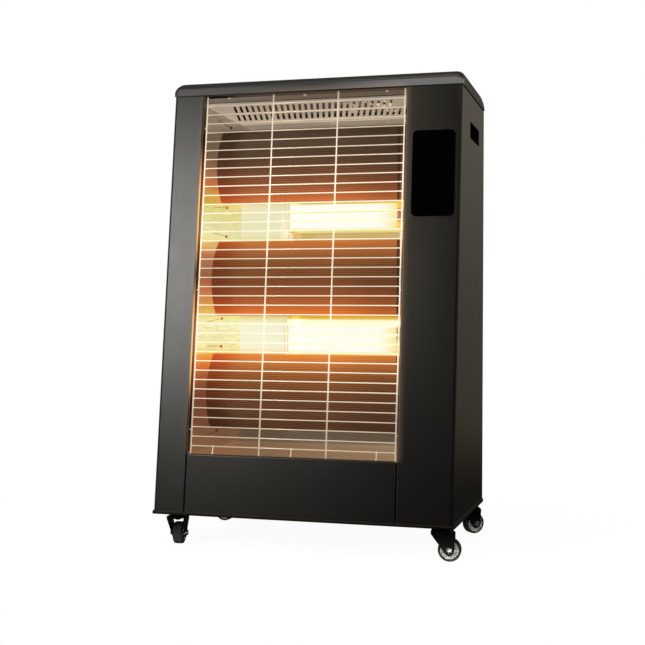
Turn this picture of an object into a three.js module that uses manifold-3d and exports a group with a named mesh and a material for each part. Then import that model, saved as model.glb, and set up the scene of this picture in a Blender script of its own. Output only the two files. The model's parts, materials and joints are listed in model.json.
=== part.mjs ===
// A floor-standing infrared heater on four swivel castors, built piece by piece.
// Units are millimetres. +Z is up, the front faces -Y, the origin is on the floor under the middle.
// The cabinet's front leans back: its depth shrinks from the base up to the lid, and the back is upright.

import * as THREE from "three";
import { mergeVertices } from "three/addons/utils/BufferGeometryUtils.js";
import Module from "manifold-3d";

const wasm = await Module();
wasm.setup();

// Clearances and cuts
const seatGap = 0.3; // between two pieces that touch
const overrun = 5; // how far a cut runs past what it cuts
const sheet = 1.2; // painted steel sheet
const linerSheet = 1; // polished steel sheet of the radiant chamber

// Cabinet
const bodyWidth = 680;
const bodyDepth = 444; // at the base
const bodyTopDepth = 347; // at the top of the panels
const panelTop = 1033.5;
const pillarWidth = 73.5; // left front pillar
const columnWidth = 124.5; // right front column with the touch panel
const edgeRadius = 6; // upright front edges
const foldRadius = 3; // other folds
const openingReturn = 14; // flange that turns in beside the opening
const backReturn = 22; // flange that turns in behind
const openingBottom = 209;

// Base tray
const trayBottom = 74;
const trayRim = 7;
const trayOverhang = 2.5;
const trayFloor = 1.5;

// Lid
const lidGap = 2; // shadow line above the panels
const lidHeight = 35.5;
const lidOverhang = 1.5;
const lidFascia = 15;
const lidFrontRun = 48; // depth of the front curve
const lidBackFascia = 5;
const lidBackRun = 62;
const lidWall = 2.5;
const lidEndRadius = 18; // rounding of the end edges along the top
const lidEndInset = 3; // how far the same rounding draws in the fascia
const lidRimInset = 2;
const lidRimWidth = 4;
const lidRimRise = 8;

// Handle cut-outs and the moulded pockets behind them
const handleLength = 141;
const handleHeight = 38.5;
const handleFromBack = 158.5; // from the back to the cut-out's centre
const handleFromTop = 80.5;
const handleRadius = 6;
const pocketDepth = 30;
const pocketWall = 2;
const pocketFlange = 7;

// Radiant chamber
const chamberLap = 6; // depth of the liner's front edges behind the front plane
const ceilingDrop = 21.5; // from the top of the panels to the ceiling
const ceilingFlange = 18;
const ceilingLap = 15; // the ceiling starts behind the wire guard
const reflectorFromBack = 80;
const slotPitch = 14.5;
const slotWidth = 6.4;
const slotSlant = -0.27; // sideways run of a slot for each millimetre of its length
const slotLength = 80;
const slotRowGap = 25; // between the two rows
const slotFromReflector = 52;
const slotFrontMargin = 51; // from the walls to the front row's outer slots
const slotBackMargin = 20;

// Ribbed radiator drums
const drumRadius = 120;
const drumHalfHeight = 90;
const drumRibPitch = 4.8;
const drumRibDepth = 1.4;
const drumSheet = 1.5;
const drumLip = 14;
const drumSetback = 98; // from the front plane to the drum's crown
const drumPlaceShares = [0.86, 0.521, 0.187]; // centres up the chamber, from the top one down

// Lamp banks: three quartz tubes in each
const lampRadius = 9;
const lampCapRadius = 6;
const lampShoulder = 2;
const lampPitch = 21;
const lampFromReflector = 82;
const lampInsetLeft = 146; // from the chamber's wall to the holder
const lampInsetRight = 43;
const lampPlaceShares = [0.693, 0.3225]; // centres of the banks up the chamber
const lampsPerBank = 3;
const holderThickness = 12;
const holderDepth = 26;
const holderMargin = 4;
const holderSocket = 8;
const socketGap = 0.6; // around a lamp's cap in its holder
const railWidth = 14;
const railMargin = 22; // length of a rail past the holders

// Wire guard
const guardWire = 1.2; // radius of the level wires
const guardUpright = 1.7; // radius of the upright wires
const guardSetback = 10; // centre of the uprights behind the front plane
const guardWeld = 0.5; // how far crossing wires sink into each other
const guardRows = 38;
const guardTopRow = 20.5; // from the top of the panels to the highest level wire
const guardBottomRow = 19; // from the opening's foot to the lowest one
const guardSideGap = 5.5; // from the opening's edge to the outer uprights
const guardUprightShares = [0, 0.343, 0.671, 1];
const guardHookShares = [0.11, 0.5, 0.91]; // places of the hooks across the guard
const guardSideHookShares = [0.065, 0.45, 0.91]; // places of the side hooks up the guard
const guardFoot = 6; // length of a hook's foot
const guardSides = 6; // faces of the upright wires
const guardRowSides = 5; // faces of the level wires

// Touch panel
const touchWidth = 95;
const touchHeight = 194;
const touchFromSide = 60.5; // from the cabinet's side to the panel's centre
const touchFromTop = 196;
const touchRadius = 11;
const touchGlass = 2.4;
const touchBorder = 6; // glass that laps over the sheet around the window
const housingDepth = 16;
const housingWall = 2;
const housingFlange = 5;
const boardThickness = 1.6;
const boardInset = 3;
const chipHeight = 2;
const chipWidth = 40;
const chipPlaceShares = [0.1, -0.25]; // lower edges of the chips, as shares of the panel's height
const chipLengthShares = [0.25, 0.125];

// Pieces behind the liner
const powerBoardWidth = 90;
const powerBoardHeight = 150;
const powerBoardFromSide = 63;
const powerBoardFromFloor = 244; // above the cabinet's floor
const relayWidth = 19;
const relayLength = 25;
const relayHeight = 16;
const relayPlaceShares = [0.15, 0.4, 0.65]; // lower edges of the relays, as shares of the board's height
const coilRadius = 11;
const standoffLength = 6;
const standoffRadius = 3;
const terminalLength = 62;
const terminalHeight = 24;
const terminalDepth = 20;
const terminalFromFloor = 104;
const terminalPoles = 4;
const terminalWell = 4.5;
const tipSwitchSize = 34;
const tipSwitchDepth = 17;
const tipSwitchFoot = 50;
const tipSwitchHeight = 28;
const tipSwitchFromSide = 70;
const tipSwitchFromBack = 162;
const cutoutRadius = 8;
const cutoutFlange = 11;
const cutoutHeight = 7;
const cutoutFromWall = 154.2;
const cutoutFromReflector = 20;
const bushingRadius = 11;
const bushingBore = 5;
const bushingLength = 16;
const bushingGap = 0.6; // around its neck in the sheet
const bushingFromSide = 78;
const bushingFromFloor = 64;

// Back panel
const louvreLength = 130;
const louvreHeight = 6;
const louvrePitch = 22;
const louvreRows = 5;
const louvreSpacing = 300; // between the centres of two fields
const louvreFromTop = 95.5; // highest row of the upper fields
const louvreFromFloor = 174; // lowest row of the lower fields
const louvreHood = 3.5; // how far the hoods stand out
const louvreSkin = 0.9;
const backPanelMargin = 2;

// Castors
const castorInsetLeft = 43; // from the cabinet's left side to the left pair
const castorInsetRight = 32; // and from its right side
const castorInsetY = 41;
const castorTrail = 18;
const castorTurns = { front_left: 98, front_right: 5, back_left: 175, back_right: 40 };
const plateSize = 44;
const plateThickness = 2.5;
const plateRadius = 4;
const plateHole = 2.6;
const plateHoleSpacing = 33;
const raceRadius = 15;
const raceHeight = 4.7;
const kingpinRadius = 4;
const kingpinHead = 6.5;
const kingpinHeadHeight = 2.6;
const crownThickness = 7;
const crownHalfLength = 21;
const forkGap = 25;
const forkLeg = 2.4;
const forkFoot = 11.5; // radius of the leg around the axle
const forkShoulder = 8; // reach of the leg's back edge past the crown
const forkFootStart = 214; // angles where the leg's edges meet its round foot
const forkFootEnd = 369;
const wheelRadius = 25;
const wheelWidth = 22;
const tyreShoulder = 4;
const hubRadius = 20;
const hubRing = 4.5;
const hubInset = 0.5; // hub's faces inside the tyre's
const hubRecess = 3.5;
const hubBoss = 7;
const axleRadius = 3;
const boltHead = 6.2;
const boltHeadHeight = 5;
const nutHeight = 6.5;

// Counts
const foldSteps = 3;
const shoulderSteps = 2;
const curveSteps = 8;
const wheelSteps = 16;
const roundSteps = 10;
const boltSides = 6;

// Worked out from the sizes above
const halfWidth = bodyWidth / 2;
const rimTop = trayBottom + trayRim;
const panelBottom = trayBottom + trayFloor + seatGap;
const leanSlope = (bodyDepth - bodyTopDepth) / (panelTop - panelBottom);
const lean = Math.atan(leanSlope);
const backY = bodyDepth / 2;
const openingLeft = pillarWidth - halfWidth;
const openingRight = halfWidth - columnWidth;
const lidBottom = panelTop + lidGap;
const lidTop = lidBottom + lidHeight;
const floorTop = openingBottom - sheet - seatGap;
const ceilingHeight = panelTop - ceilingDrop;
const chamberLeft = openingLeft + seatGap + linerSheet;
const chamberRight = openingRight - seatGap - linerSheet;
const reflectorY = backY - reflectorFromBack;
const upChamber = (share) => floorTop + (ceilingHeight - floorTop) * share;
const lampLeft = chamberLeft + lampInsetLeft;
const lampRight = chamberRight - lampInsetRight;
const lampY = reflectorY - lampFromReflector;
const touchCentreX = halfWidth - touchFromSide;
const touchCentreZ = panelTop - touchFromTop;

// Where the leaning front plane stands at a height
const frontY = (z) => (z - panelBottom) * leanSlope - backY;

const finishes = {
  paint: { color: 0x35322c, roughness: 0.45, metalness: 0.3 },
  lid: { color: 0x3a3a37, roughness: 0.5, metalness: 0 },
  liner: { color: 0xc9bfae, roughness: 0.2, metalness: 1 },
  drum: { color: 0x4a3a32, roughness: 0.55, metalness: 0.4 },
  lamp: { color: 0xfff2c8, roughness: 0.2, metalness: 0 },
  ceramic: { color: 0xe8e2d2, roughness: 0.7, metalness: 0 },
  wire: { color: 0xe9dfc8, roughness: 0.25, metalness: 0.9 },
  glass: { color: 0x050505, roughness: 0.06, metalness: 0 },
  plastic: { color: 0x101010, roughness: 0.5, metalness: 0 },
  board: { color: 0x1d5a35, roughness: 0.6, metalness: 0 },
  steel: { color: 0x9a9a98, roughness: 0.35, metalness: 1 },
  castor: { color: 0x1c1b19, roughness: 0.5, metalness: 0.5 },
  rubber: { color: 0x1a1918, roughness: 0.8, metalness: 0 },
  hub: { color: 0xb9b7b2, roughness: 0.5, metalness: 0 },
};

// Axes that an extrusion can use: its outline's two axes, then the direction it runs in
const X = new THREE.Vector3(1, 0, 0);
const Y = new THREE.Vector3(0, 1, 0);
const Z = new THREE.Vector3(0, 0, 1);
const alongX = [Y, Z, X];
const alongY = [Z, X, Y];
const alongZ = [X, Y, Z];
const up = new THREE.Vector3(0, Math.sin(lean), Math.cos(lean)); // up the leaning front
const down = up.clone().negate();
const outward = new THREE.Vector3(0, -Math.cos(lean), Math.sin(lean)); // out of the leaning front
const outOfFront = [X, up, outward];
const acrossFront = [up, outward, X];
const frontFoot = new THREE.Vector3(0, frontY(panelBottom), panelBottom);
const slopeOf = (z) => (z - panelBottom) / Math.cos(lean); // distance up the slope of a height

// A geometry as a solid that can be joined and cut
function solid(geometry) {
  const loose = geometry.index ? geometry.toNonIndexed() : geometry;
  const bare = new THREE.BufferGeometry().setAttribute("position", loose.getAttribute("position"));
  const merged = mergeVertices(bare);
  return new wasm.Manifold(new wasm.Mesh({
    numProp: 3,
    vertProperties: merged.getAttribute("position").array,
    triVerts: new Uint32Array(merged.index.array),
  }));
}

const join = (solids) => solids.reduce((a, b) => a.add(b));
const cut = (body, tools) => tools.reduce((a, b) => a.subtract(b), body);

function geometryOf(body) {
  const mesh = body.getMesh();
  const geometry = new THREE.BufferGeometry();
  geometry.setAttribute("position", new THREE.BufferAttribute(new Float32Array(mesh.vertProperties), 3));
  geometry.setIndex(new THREE.BufferAttribute(new Uint32Array(mesh.triVerts), 1));
  geometry.computeVertexNormals();
  return geometry;
}

// An outline run along an axis from one place to another
function extrude(outline, axes, from, to, origin = new THREE.Vector3()) {
  const shape = new THREE.Shape(outline.map(([u, v]) => new THREE.Vector2(u, v)));
  const geometry = new THREE.ExtrudeGeometry(shape, { depth: to - from, bevelEnabled: false });
  geometry.translate(0, 0, from);
  geometry.applyMatrix4(new THREE.Matrix4().makeBasis(...axes).setPosition(origin));
  return solid(geometry);
}

const rectangle = (u0, u1, v0, v1) => [[u0, v0], [u1, v0], [u1, v1], [u0, v1]];

const box = (x0, x1, y0, y1, z0, z1) => extrude(rectangle(x0, x1, y0, y1), alongZ, z0, z1);

// Points of an arc about a centre, angles in degrees
function arc(u, v, radiusU, radiusV, start, end, steps) {
  return Array.from({ length: steps + 1 }, (_, i) => {
    const angle = THREE.MathUtils.degToRad(start + ((end - start) * i) / steps);
    return [u + radiusU * Math.cos(angle), v + radiusV * Math.sin(angle)];
  });
}

function roundedRectangle(u0, u1, v0, v1, r, steps = foldSteps) {
  return [
    ...arc(u1 - r, v0 + r, r, r, -90, 0, steps),
    ...arc(u1 - r, v1 - r, r, r, 0, 90, steps),
    ...arc(u0 + r, v1 - r, r, r, 90, 180, steps),
    ...arc(u0 + r, v0 + r, r, r, 180, 270, steps),
  ];
}

function circle(u, v, r, steps = roundSteps) {
  return arc(u, v, r, r, 0, 360, steps).slice(0, -1);
}

const rod = (u, v, r, axes, from, to, steps = roundSteps, origin = undefined) =>
  extrude(circle(u, v, r, steps), axes, from, to, origin);

// A path through corners, each with its fold radius
function folded(corners, radii) {
  const points = corners.map(([u, v]) => new THREE.Vector2(u, v));
  return points.flatMap((corner, i) => {
    const r = radii[i];
    if (i === 0 || i === points.length - 1 || !r) return [[corner.x, corner.y]];
    const before = points[i - 1].clone().sub(corner).normalize();
    const after = points[i + 1].clone().sub(corner).normalize();
    const half = before.angleTo(after) / 2;
    const reach = r / Math.tan(half);
    const centre = before.clone().add(after).normalize().multiplyScalar(r / Math.sin(half)).add(corner);
    const start = before.multiplyScalar(reach).add(corner).sub(centre);
    const end = after.multiplyScalar(reach).add(corner).sub(centre);
    const turn = Math.atan2(start.cross(end), start.dot(end));
    return Array.from({ length: foldSteps + 1 }, (_, step) => {
      const p = start.clone().rotateAround(new THREE.Vector2(), (turn * step) / foldSteps).add(centre);
      return [p.x, p.y];
    });
  });
}

// A path moved sideways: to its right, or to its left where the distance is negative
function beside(path, distance) {
  const points = path.map(([u, v]) => new THREE.Vector2(u, v));
  return points.map((point, i) => {
    const ahead = points[i + 1] ? points[i + 1].clone().sub(point).normalize() : null;
    const behind = points[i - 1] ? point.clone().sub(points[i - 1]).normalize() : null;
    const along = (ahead ?? behind).clone().add(behind ?? ahead).normalize();
    const stretch = distance / Math.max(along.dot(ahead ?? behind), Math.SQRT1_2);
    return [point.x + along.y * stretch, point.y - along.x * stretch];
  });
}

// Sheet metal folded along a path, as an outline
const strip = (path, thickness) => [...path, ...beside(path, thickness).reverse()];

// A closed body through rings of points that match one to one
function loft(rings, flat) {
  const count = rings[0].length;
  const clockwise = THREE.ShapeUtils.isClockWise(rings[0].map(flat));
  const points = rings.flatMap((ring) => (clockwise ? [...ring].reverse() : ring));
  const faces = THREE.ShapeUtils.triangulateShape(points.slice(0, count).map(flat), []);
  const last = (rings.length - 1) * count;
  const triangles = faces.flatMap(([a, b, c]) => [c, b, a, a + last, b + last, c + last]);
  for (let ring = 0; ring < rings.length - 1; ring += 1) {
    for (let i = 0; i < count; i += 1) {
      const a = ring * count + i;
      const b = ring * count + ((i + 1) % count);
      triangles.push(a, b, b + count, a, b + count, a + count);
    }
  }
  const volume = (sum, _, i) => {
    if (i % 3) return sum;
    const [p, q, r] = [0, 1, 2].map((corner) => points[triangles[i + corner]]);
    return sum + p.dot(q.clone().cross(r));
  };
  if (triangles.reduce(volume, 0) < 0) triangles.reverse();
  const geometry = new THREE.BufferGeometry().setFromPoints(points);
  geometry.setIndex(triangles);
  return solid(geometry);
}

// A turned piece about an axis through a point
function turned(profile, axes, origin, steps = wheelSteps) {
  const geometry = new THREE.LatheGeometry(profile.map(([r, h]) => new THREE.Vector2(r, h)), steps);
  geometry.rotateX(Math.PI / 2);
  geometry.applyMatrix4(new THREE.Matrix4().makeBasis(...axes).setPosition(origin));
  const body = solid(geometry);
  if (body.volume() > 0) return body;
  return turned([...profile].reverse(), axes, origin, steps);
}

const heater = new THREE.Group();

function add(name, body, finish, parent = heater) {
  const mesh = new THREE.Mesh(geometryOf(body), new THREE.MeshStandardMaterial(finishes[finish]));
  mesh.name = name;
  parent.add(mesh);
  return mesh;
}

// The base tray: a shallow pan with an upstanding rim
function baseTray() {
  const reachX = halfWidth + trayOverhang;
  const reachY = backY + trayOverhang;
  const outer = roundedRectangle(-reachX, reachX, -reachY, reachY, foldRadius + trayOverhang);
  const innerX = halfWidth + seatGap;
  const innerY = backY + seatGap;
  const inner = roundedRectangle(-innerX, innerX, -innerY, innerY, foldRadius + seatGap);
  const pan = extrude(outer, alongZ, trayBottom, rimTop);
  const hollow = extrude(inner, alongZ, trayBottom + trayFloor, rimTop + overrun);
  add("base_tray", cut(pan, [hollow]), "paint");
}

function castorPlaces() {
  return Object.entries(castorTurns).map(([place, turn]) => ({
    place,
    turn,
    x: place.endsWith("left") ? castorInsetLeft - halfWidth : halfWidth - castorInsetRight,
    y: (backY - castorInsetY) * (place.startsWith("front") ? -1 : 1),
  }));
}

// A side panel: one sheet that wraps from the opening round the front edge and the side to the back
function sidePanel(side, frontWidth) {
  const inner = side * (halfWidth - frontWidth);
  const outer = side * halfWidth;
  const section = (z) => {
    const y = frontY(z);
    const corners = [
      [inner, y + openingReturn], [inner, y], [outer, y], [outer, backY], [outer - side * backReturn, backY],
    ];
    return strip(folded(corners, [0, foldRadius, edgeRadius, foldRadius, 0]), -side * sheet)
      .map(([u, v]) => new THREE.Vector3(u, v, z));
  };
  return loft([section(panelBottom), section(panelTop)], (p) => new THREE.Vector2(p.x, p.y));
}

function handleOutline(margin = 0) {
  const u = handleLength / 2 + margin;
  const v = handleHeight / 2 + margin;
  const y = backY - handleFromBack;
  const z = panelTop - handleFromTop;
  return roundedRectangle(y - u, y + u, z - v, z + v, handleRadius + margin);
}

function sidePanels() {
  const cutOut = extrude(handleOutline(), alongX, -halfWidth - overrun, halfWidth + overrun);
  const left = sidePanel(-1, pillarWidth);
  const window = touchOutline(-touchBorder);
  const touchWindow = extrude(window, outOfFront, -overrun, overrun, frontFoot);
  add("left_side_panel", cut(left, [cutOut]), "paint");
  add("right_side_panel", cut(sidePanel(1, columnWidth), [cutOut, touchWindow]), "paint");
}

// Moulded pockets that the fingers reach into, with a flange behind the sheet
function handlePockets() {
  for (const [name, side] of [["left_handle_pocket", -1], ["right_handle_pocket", 1]]) {
    const face = side * (halfWidth - sheet - seatGap);
    const back = side * (halfWidth - sheet - seatGap - pocketDepth);
    const order = (a, b) => [Math.min(a, b), Math.max(a, b)];
    const shell = extrude(handleOutline(pocketWall), alongX, ...order(face, back));
    const flange = extrude(handleOutline(pocketFlange), alongX, ...order(face, face - side * pocketWall));
    const mouth = order(face + side * overrun, back + side * pocketWall);
    const hollow = extrude(handleOutline(), alongX, ...mouth);
    add(name, cut(join([shell, flange]), [hollow]), "plastic");
  }
}

// The front lower panel: it fits between the liner's walls, leans with the front and turns in
// along its top and both sides
function frontLowerPanel() {
  const left = chamberLeft + seatGap;
  const right = chamberRight - seatGap;
  const bottom = panelBottom + sheet * leanSlope;
  const edge = frontY(openingBottom);
  const face = [[frontY(bottom), bottom], [edge, openingBottom], [edge + openingReturn, openingBottom]];
  const skin = extrude(strip(folded(face, [0, foldRadius, 0]), sheet), alongX, left, right);
  const foot = slopeOf(panelBottom + openingReturn * leanSlope);
  const head = slopeOf(openingBottom) - foldRadius;
  const wing = (x) => extrude(rectangle(x, x + sheet, foot, head), outOfFront,
    -openingReturn, -sheet / 2, frontFoot);
  add("front_lower_panel", join([skin, wing(left), wing(right - sheet)]), "paint");
}

// One section of the lid in y and z: drawn down by the rounding of the ends, and in at the fascia
function lidSection(x, drop, inset, wall = 0) {
  const front = frontY(lidBottom) - lidOverhang + wall;
  const back = backY + lidOverhang - wall;
  const top = lidTop - wall;
  const frontRise = lidTop - lidBottom - lidFascia;
  const backRise = lidTop - lidBottom - lidBackFascia;
  const path = [
    [front, lidBottom],
    ...arc(front + lidFrontRun, top - frontRise, lidFrontRun, frontRise, 180, 90, curveSteps),
    ...arc(back - lidBackRun, top - backRise, lidBackRun, backRise, 90, 0, curveSteps),
    [back, lidBottom],
  ];
  const middle = (front + back) / 2;
  return path.map(([y, z]) => {
    const share = (z - lidBottom) / (top - lidBottom);
    return new THREE.Vector3(x, y + Math.sign(middle - y) * inset, z - drop * share);
  });
}

// The lid: a moulded cap with soft front and back curves and rounded ends, hollow underneath,
// that rests on the panels by a rim set back from its skirt
function lid() {
  const reach = halfWidth + lidOverhang;
  const flat = (p) => new THREE.Vector2(p.y, p.z);
  const rounding = arc(0, 0, 1, 1, 0, 90, foldSteps).map(([out, along]) => ({
    x: reach - lidEndRadius * (1 - out),
    drop: lidEndRadius * (1 - along),
    inset: lidEndInset * (1 - along),
  }));
  const sections = [
    ...rounding.map(({ x, drop, inset }) => lidSection(-x, drop, inset)),
    ...rounding.reverse().map(({ x, drop, inset }) => lidSection(x, drop, inset)),
  ];
  const inner = reach - lidWall;
  const hollow = [-inner, inner].map((x) => lidSection(x, 0, 0, lidWall));
  const mouth = hollow.map((ring) => {
    const [first, last] = [ring[0], ring[ring.length - 1]];
    return [first.clone().setZ(lidBottom - overrun), ...ring, last.clone().setZ(lidBottom - overrun)];
  });
  const front = frontY(lidBottom) - lidOverhang + lidRimInset;
  const back = backY + lidOverhang - lidRimInset;
  const side = reach - lidRimInset;
  const rimBottom = panelTop + seatGap;
  const rim = cut(box(-side, side, front, back, rimBottom, lidBottom + lidRimRise), [
    box(lidRimWidth - side, side - lidRimWidth, front + lidRimWidth, back - lidRimWidth,
      rimBottom - overrun, lidBottom + lidRimRise + overrun),
  ]);
  add("lid", join([cut(loft(sections, flat), [loft(mouth, flat)]), rim]), "lid");
}

// The back panel: a flat sheet with fields of pressed louvres and a hole for the cord bushing
function backPanel() {
  const outer = backY - sheet - seatGap;
  const reach = halfWidth - sheet - backPanelMargin;
  const plate = box(-reach, reach, outer - sheet, outer, panelBottom, panelTop);
  const lowRow = panelBottom + louvreFromFloor;
  const highRow = panelTop - louvreFromTop - (louvreRows - 1) * louvrePitch;
  const fields = [-1, 1].flatMap((side) => [lowRow, highRow].map((z) => [(side * louvreSpacing) / 2, z]));
  const rows = fields.flatMap(([x, z]) =>
    Array.from({ length: louvreRows }, (_, row) => [x, z + row * louvrePitch]));
  const half = louvreLength / 2;
  const hoods = rows.map(([x, z]) => extrude(
    [[outer - sheet / 2, z], [outer + louvreHood, z], [outer - sheet / 2, z + louvreHeight]],
    alongX, x - half, x + half));
  const mouths = rows.map(([x, z]) => extrude([
    [outer - sheet - overrun, z - louvreSkin], [outer + louvreHood - louvreSkin, z - louvreSkin],
    [outer - sheet - overrun, z + louvreHeight],
  ], alongX, x - half + louvreSkin, x + half - louvreSkin));
  const { x: holeX, z: holeZ } = bushingPlace();
  const hole = rod(holeZ, holeX, bushingNeck() + bushingGap, alongY, outer - overrun, outer + overrun);
  add("back_panel", cut(join([plate, ...hoods]), [...mouths, hole]), "paint");
}

const bushingNeck = () => (bushingRadius + bushingBore) / 2;

const bushingPlace = () => new THREE.Vector3(
  halfWidth - bushingFromSide, backY - sheet - seatGap, panelBottom + bushingFromFloor);

// The empty bushing where the mains lead would come in
function cordBushing() {
  const inside = sheet + seatGap;
  const half = bushingLength / 2;
  const profile = [
    [bushingBore, -half], [bushingRadius, -half], [bushingRadius, -inside], [bushingNeck(), -inside],
    [bushingNeck(), seatGap], [bushingRadius, seatGap], [bushingNeck(), half / 2], [bushingBore, half / 2],
    [bushingBore, -half],
  ];
  add("cord_bushing", turned(profile, alongY, bushingPlace(), roundSteps), "plastic");
}

// The polished liner: two walls, a floor, a slotted ceiling and the back reflector
function chamber() {
  const wall = (x) => extrude([
    [frontY(floorTop) + chamberLap, floorTop + seatGap],
    [reflectorY - seatGap, floorTop + seatGap],
    [reflectorY - seatGap, ceilingHeight - seatGap],
    [frontY(ceilingHeight) + chamberLap, ceilingHeight - seatGap],
  ], alongX, x, x + linerSheet);
  add("chamber_left_wall", wall(chamberLeft - linerSheet), "liner");
  add("chamber_right_wall", wall(chamberRight), "liner");

  const left = chamberLeft - linerSheet;
  const right = chamberRight + linerSheet;
  add("chamber_floor", box(left, right, frontY(floorTop) + chamberLap, reflectorY - seatGap,
    floorTop - linerSheet, floorTop), "liner");
  add("back_reflector", box(left, right, reflectorY, reflectorY + linerSheet,
    floorTop - linerSheet, ceilingHeight + linerSheet), "liner");

  const headHeight = ceilingHeight + ceilingFlange;
  const path = folded([
    [frontY(headHeight) + ceilingLap, headHeight],
    [frontY(ceilingHeight) + ceilingLap, ceilingHeight],
    [reflectorY - seatGap, ceilingHeight],
  ], [0, foldRadius, 0]);
  const ceiling = extrude(strip(path, -linerSheet), alongX, left, right);
  const slotRow = (front, margin) => {
    const back = front + slotLength;
    const run = (slotLength * slotSlant) / 2;
    const half = slotWidth / 2;
    const count = Math.floor((chamberRight - chamberLeft - 2 * margin) / slotPitch) + 1;
    return Array.from({ length: count }, (_, i) => {
      const x = (chamberLeft + chamberRight) / 2 + (i - (count - 1) / 2) * slotPitch;
      return extrude([
        [x - run - half, front], [x - run + half, front], [x + run + half, back], [x + run - half, back],
      ], alongZ, ceilingHeight - overrun, ceilingHeight + overrun);
    });
  };
  const backRow = reflectorY - slotFromReflector - slotLength;
  const slots = [
    ...slotRow(backRow - slotRowGap - slotLength, slotFrontMargin), ...slotRow(backRow, slotBackMargin),
  ];
  add("chamber_ceiling", cut(ceiling, slots), "liner");
}

// A radiator drum: an arched sheet with fine ribs along it and a lip turned back at both edges
function drum(name, centreZ) {
  const centre = slopeOf(centreZ);
  const axis = -drumSetback - drumRadius;
  const point = (r, angle) => [centre + r * Math.sin(angle), axis + r * Math.cos(angle)];
  const sweep = (r, spread, steps) => Array.from({ length: steps + 1 }, (_, i) =>
    point(i % 2 ? r + drumRibDepth : r, (i / steps) * 2 * spread - spread));
  const valley = drumRadius - drumRibDepth;
  const spread = Math.asin(drumHalfHeight / drumRadius);
  const ribs = Math.round((2 * drumRadius * spread) / drumRibPitch);
  const outer = sweep(valley, spread, 2 * ribs);
  const within = valley - drumSheet;
  const innerSpread = Math.asin((valley * Math.sin(spread) - drumSheet) / within);
  const inner = Array.from({ length: 2 * curveSteps + 1 }, (_, i) =>
    point(within, innerSpread - (i / curveSteps) * innerSpread));
  const lipEnd = outer[0][1] - drumLip;
  const outline = [
    [outer[0][0], lipEnd], ...outer, [outer[outer.length - 1][0], lipEnd],
    [inner[0][0], lipEnd], ...inner, [inner[inner.length - 1][0], lipEnd],
  ];
  const arch = extrude(outline, acrossFront, chamberLeft + seatGap, chamberRight - seatGap, frontFoot);
  add(name, arch, "drum");
}

// A bank of quartz tubes in two ceramic holders
function lampBank(bank, centreZ) {
  const offsets = Array.from({ length: lampsPerBank }, (_, i) => (i - (lampsPerBank - 1) / 2) * lampPitch);
  const reach = offsets[lampsPerBank - 1] + lampRadius + holderMargin;
  const inLeft = lampLeft + holderThickness;
  const inRight = lampRight - holderThickness;
  const block = (x0, x1, mouth, way) => cut(
    box(x0, x1, lampY - holderDepth / 2, lampY + holderDepth / 2, centreZ - reach, centreZ + reach),
    offsets.map((offset) => rod(lampY, centreZ + offset, lampCapRadius + socketGap, alongX,
      Math.min(mouth + way * overrun, mouth - way * holderSocket),
      Math.max(mouth + way * overrun, mouth - way * holderSocket))),
  );
  add(`lamp_holder_${bank}_left`, block(lampLeft, inLeft, inLeft, 1), "ceramic");
  add(`lamp_holder_${bank}_right`, block(inRight, lampRight, inRight, -1), "ceramic");
  offsets.forEach((offset, i) => {
    const start = inLeft - holderSocket + seatGap;
    const end = inRight + holderSocket - seatGap;
    const neck = holderSocket + lampShoulder;
    const profile = [
      [0, 0], [lampCapRadius, 0], [lampCapRadius, neck], [lampRadius, neck + lampShoulder],
      [lampRadius, end - start - neck - lampShoulder], [lampCapRadius, end - start - neck],
      [lampCapRadius, end - start], [0, end - start],
    ];
    add(`lamp_${bank}_${lampsPerBank - i}`,
      turned(profile, alongX, new THREE.Vector3(start, lampY, centreZ + offset), roundSteps), "lamp");
  });
}

// Two upright channels on the reflector that carry the lamp holders
function lampRails() {
  const reach = ((lampsPerBank - 1) / 2) * lampPitch + lampRadius + holderMargin + railMargin;
  const centres = lampPlaceShares.map(upChamber);
  const bottom = Math.min(...centres) - reach;
  const top = Math.max(...centres) + reach;
  const face = lampY + holderDepth / 2 + seatGap;
  const foot = reflectorY - seatGap;
  const half = railWidth / 2;
  const rail = (x) => extrude(strip(folded([
    [x - half, foot], [x - half, face], [x + half, face], [x + half, foot],
  ], [0, linerSheet, linerSheet, 0]), -linerSheet), alongZ, bottom, top);
  add("lamp_rail_left", rail(lampLeft + holderThickness / 2), "steel");
  add("lamp_rail_right", rail(lampRight - holderThickness / 2), "steel");
}

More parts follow.
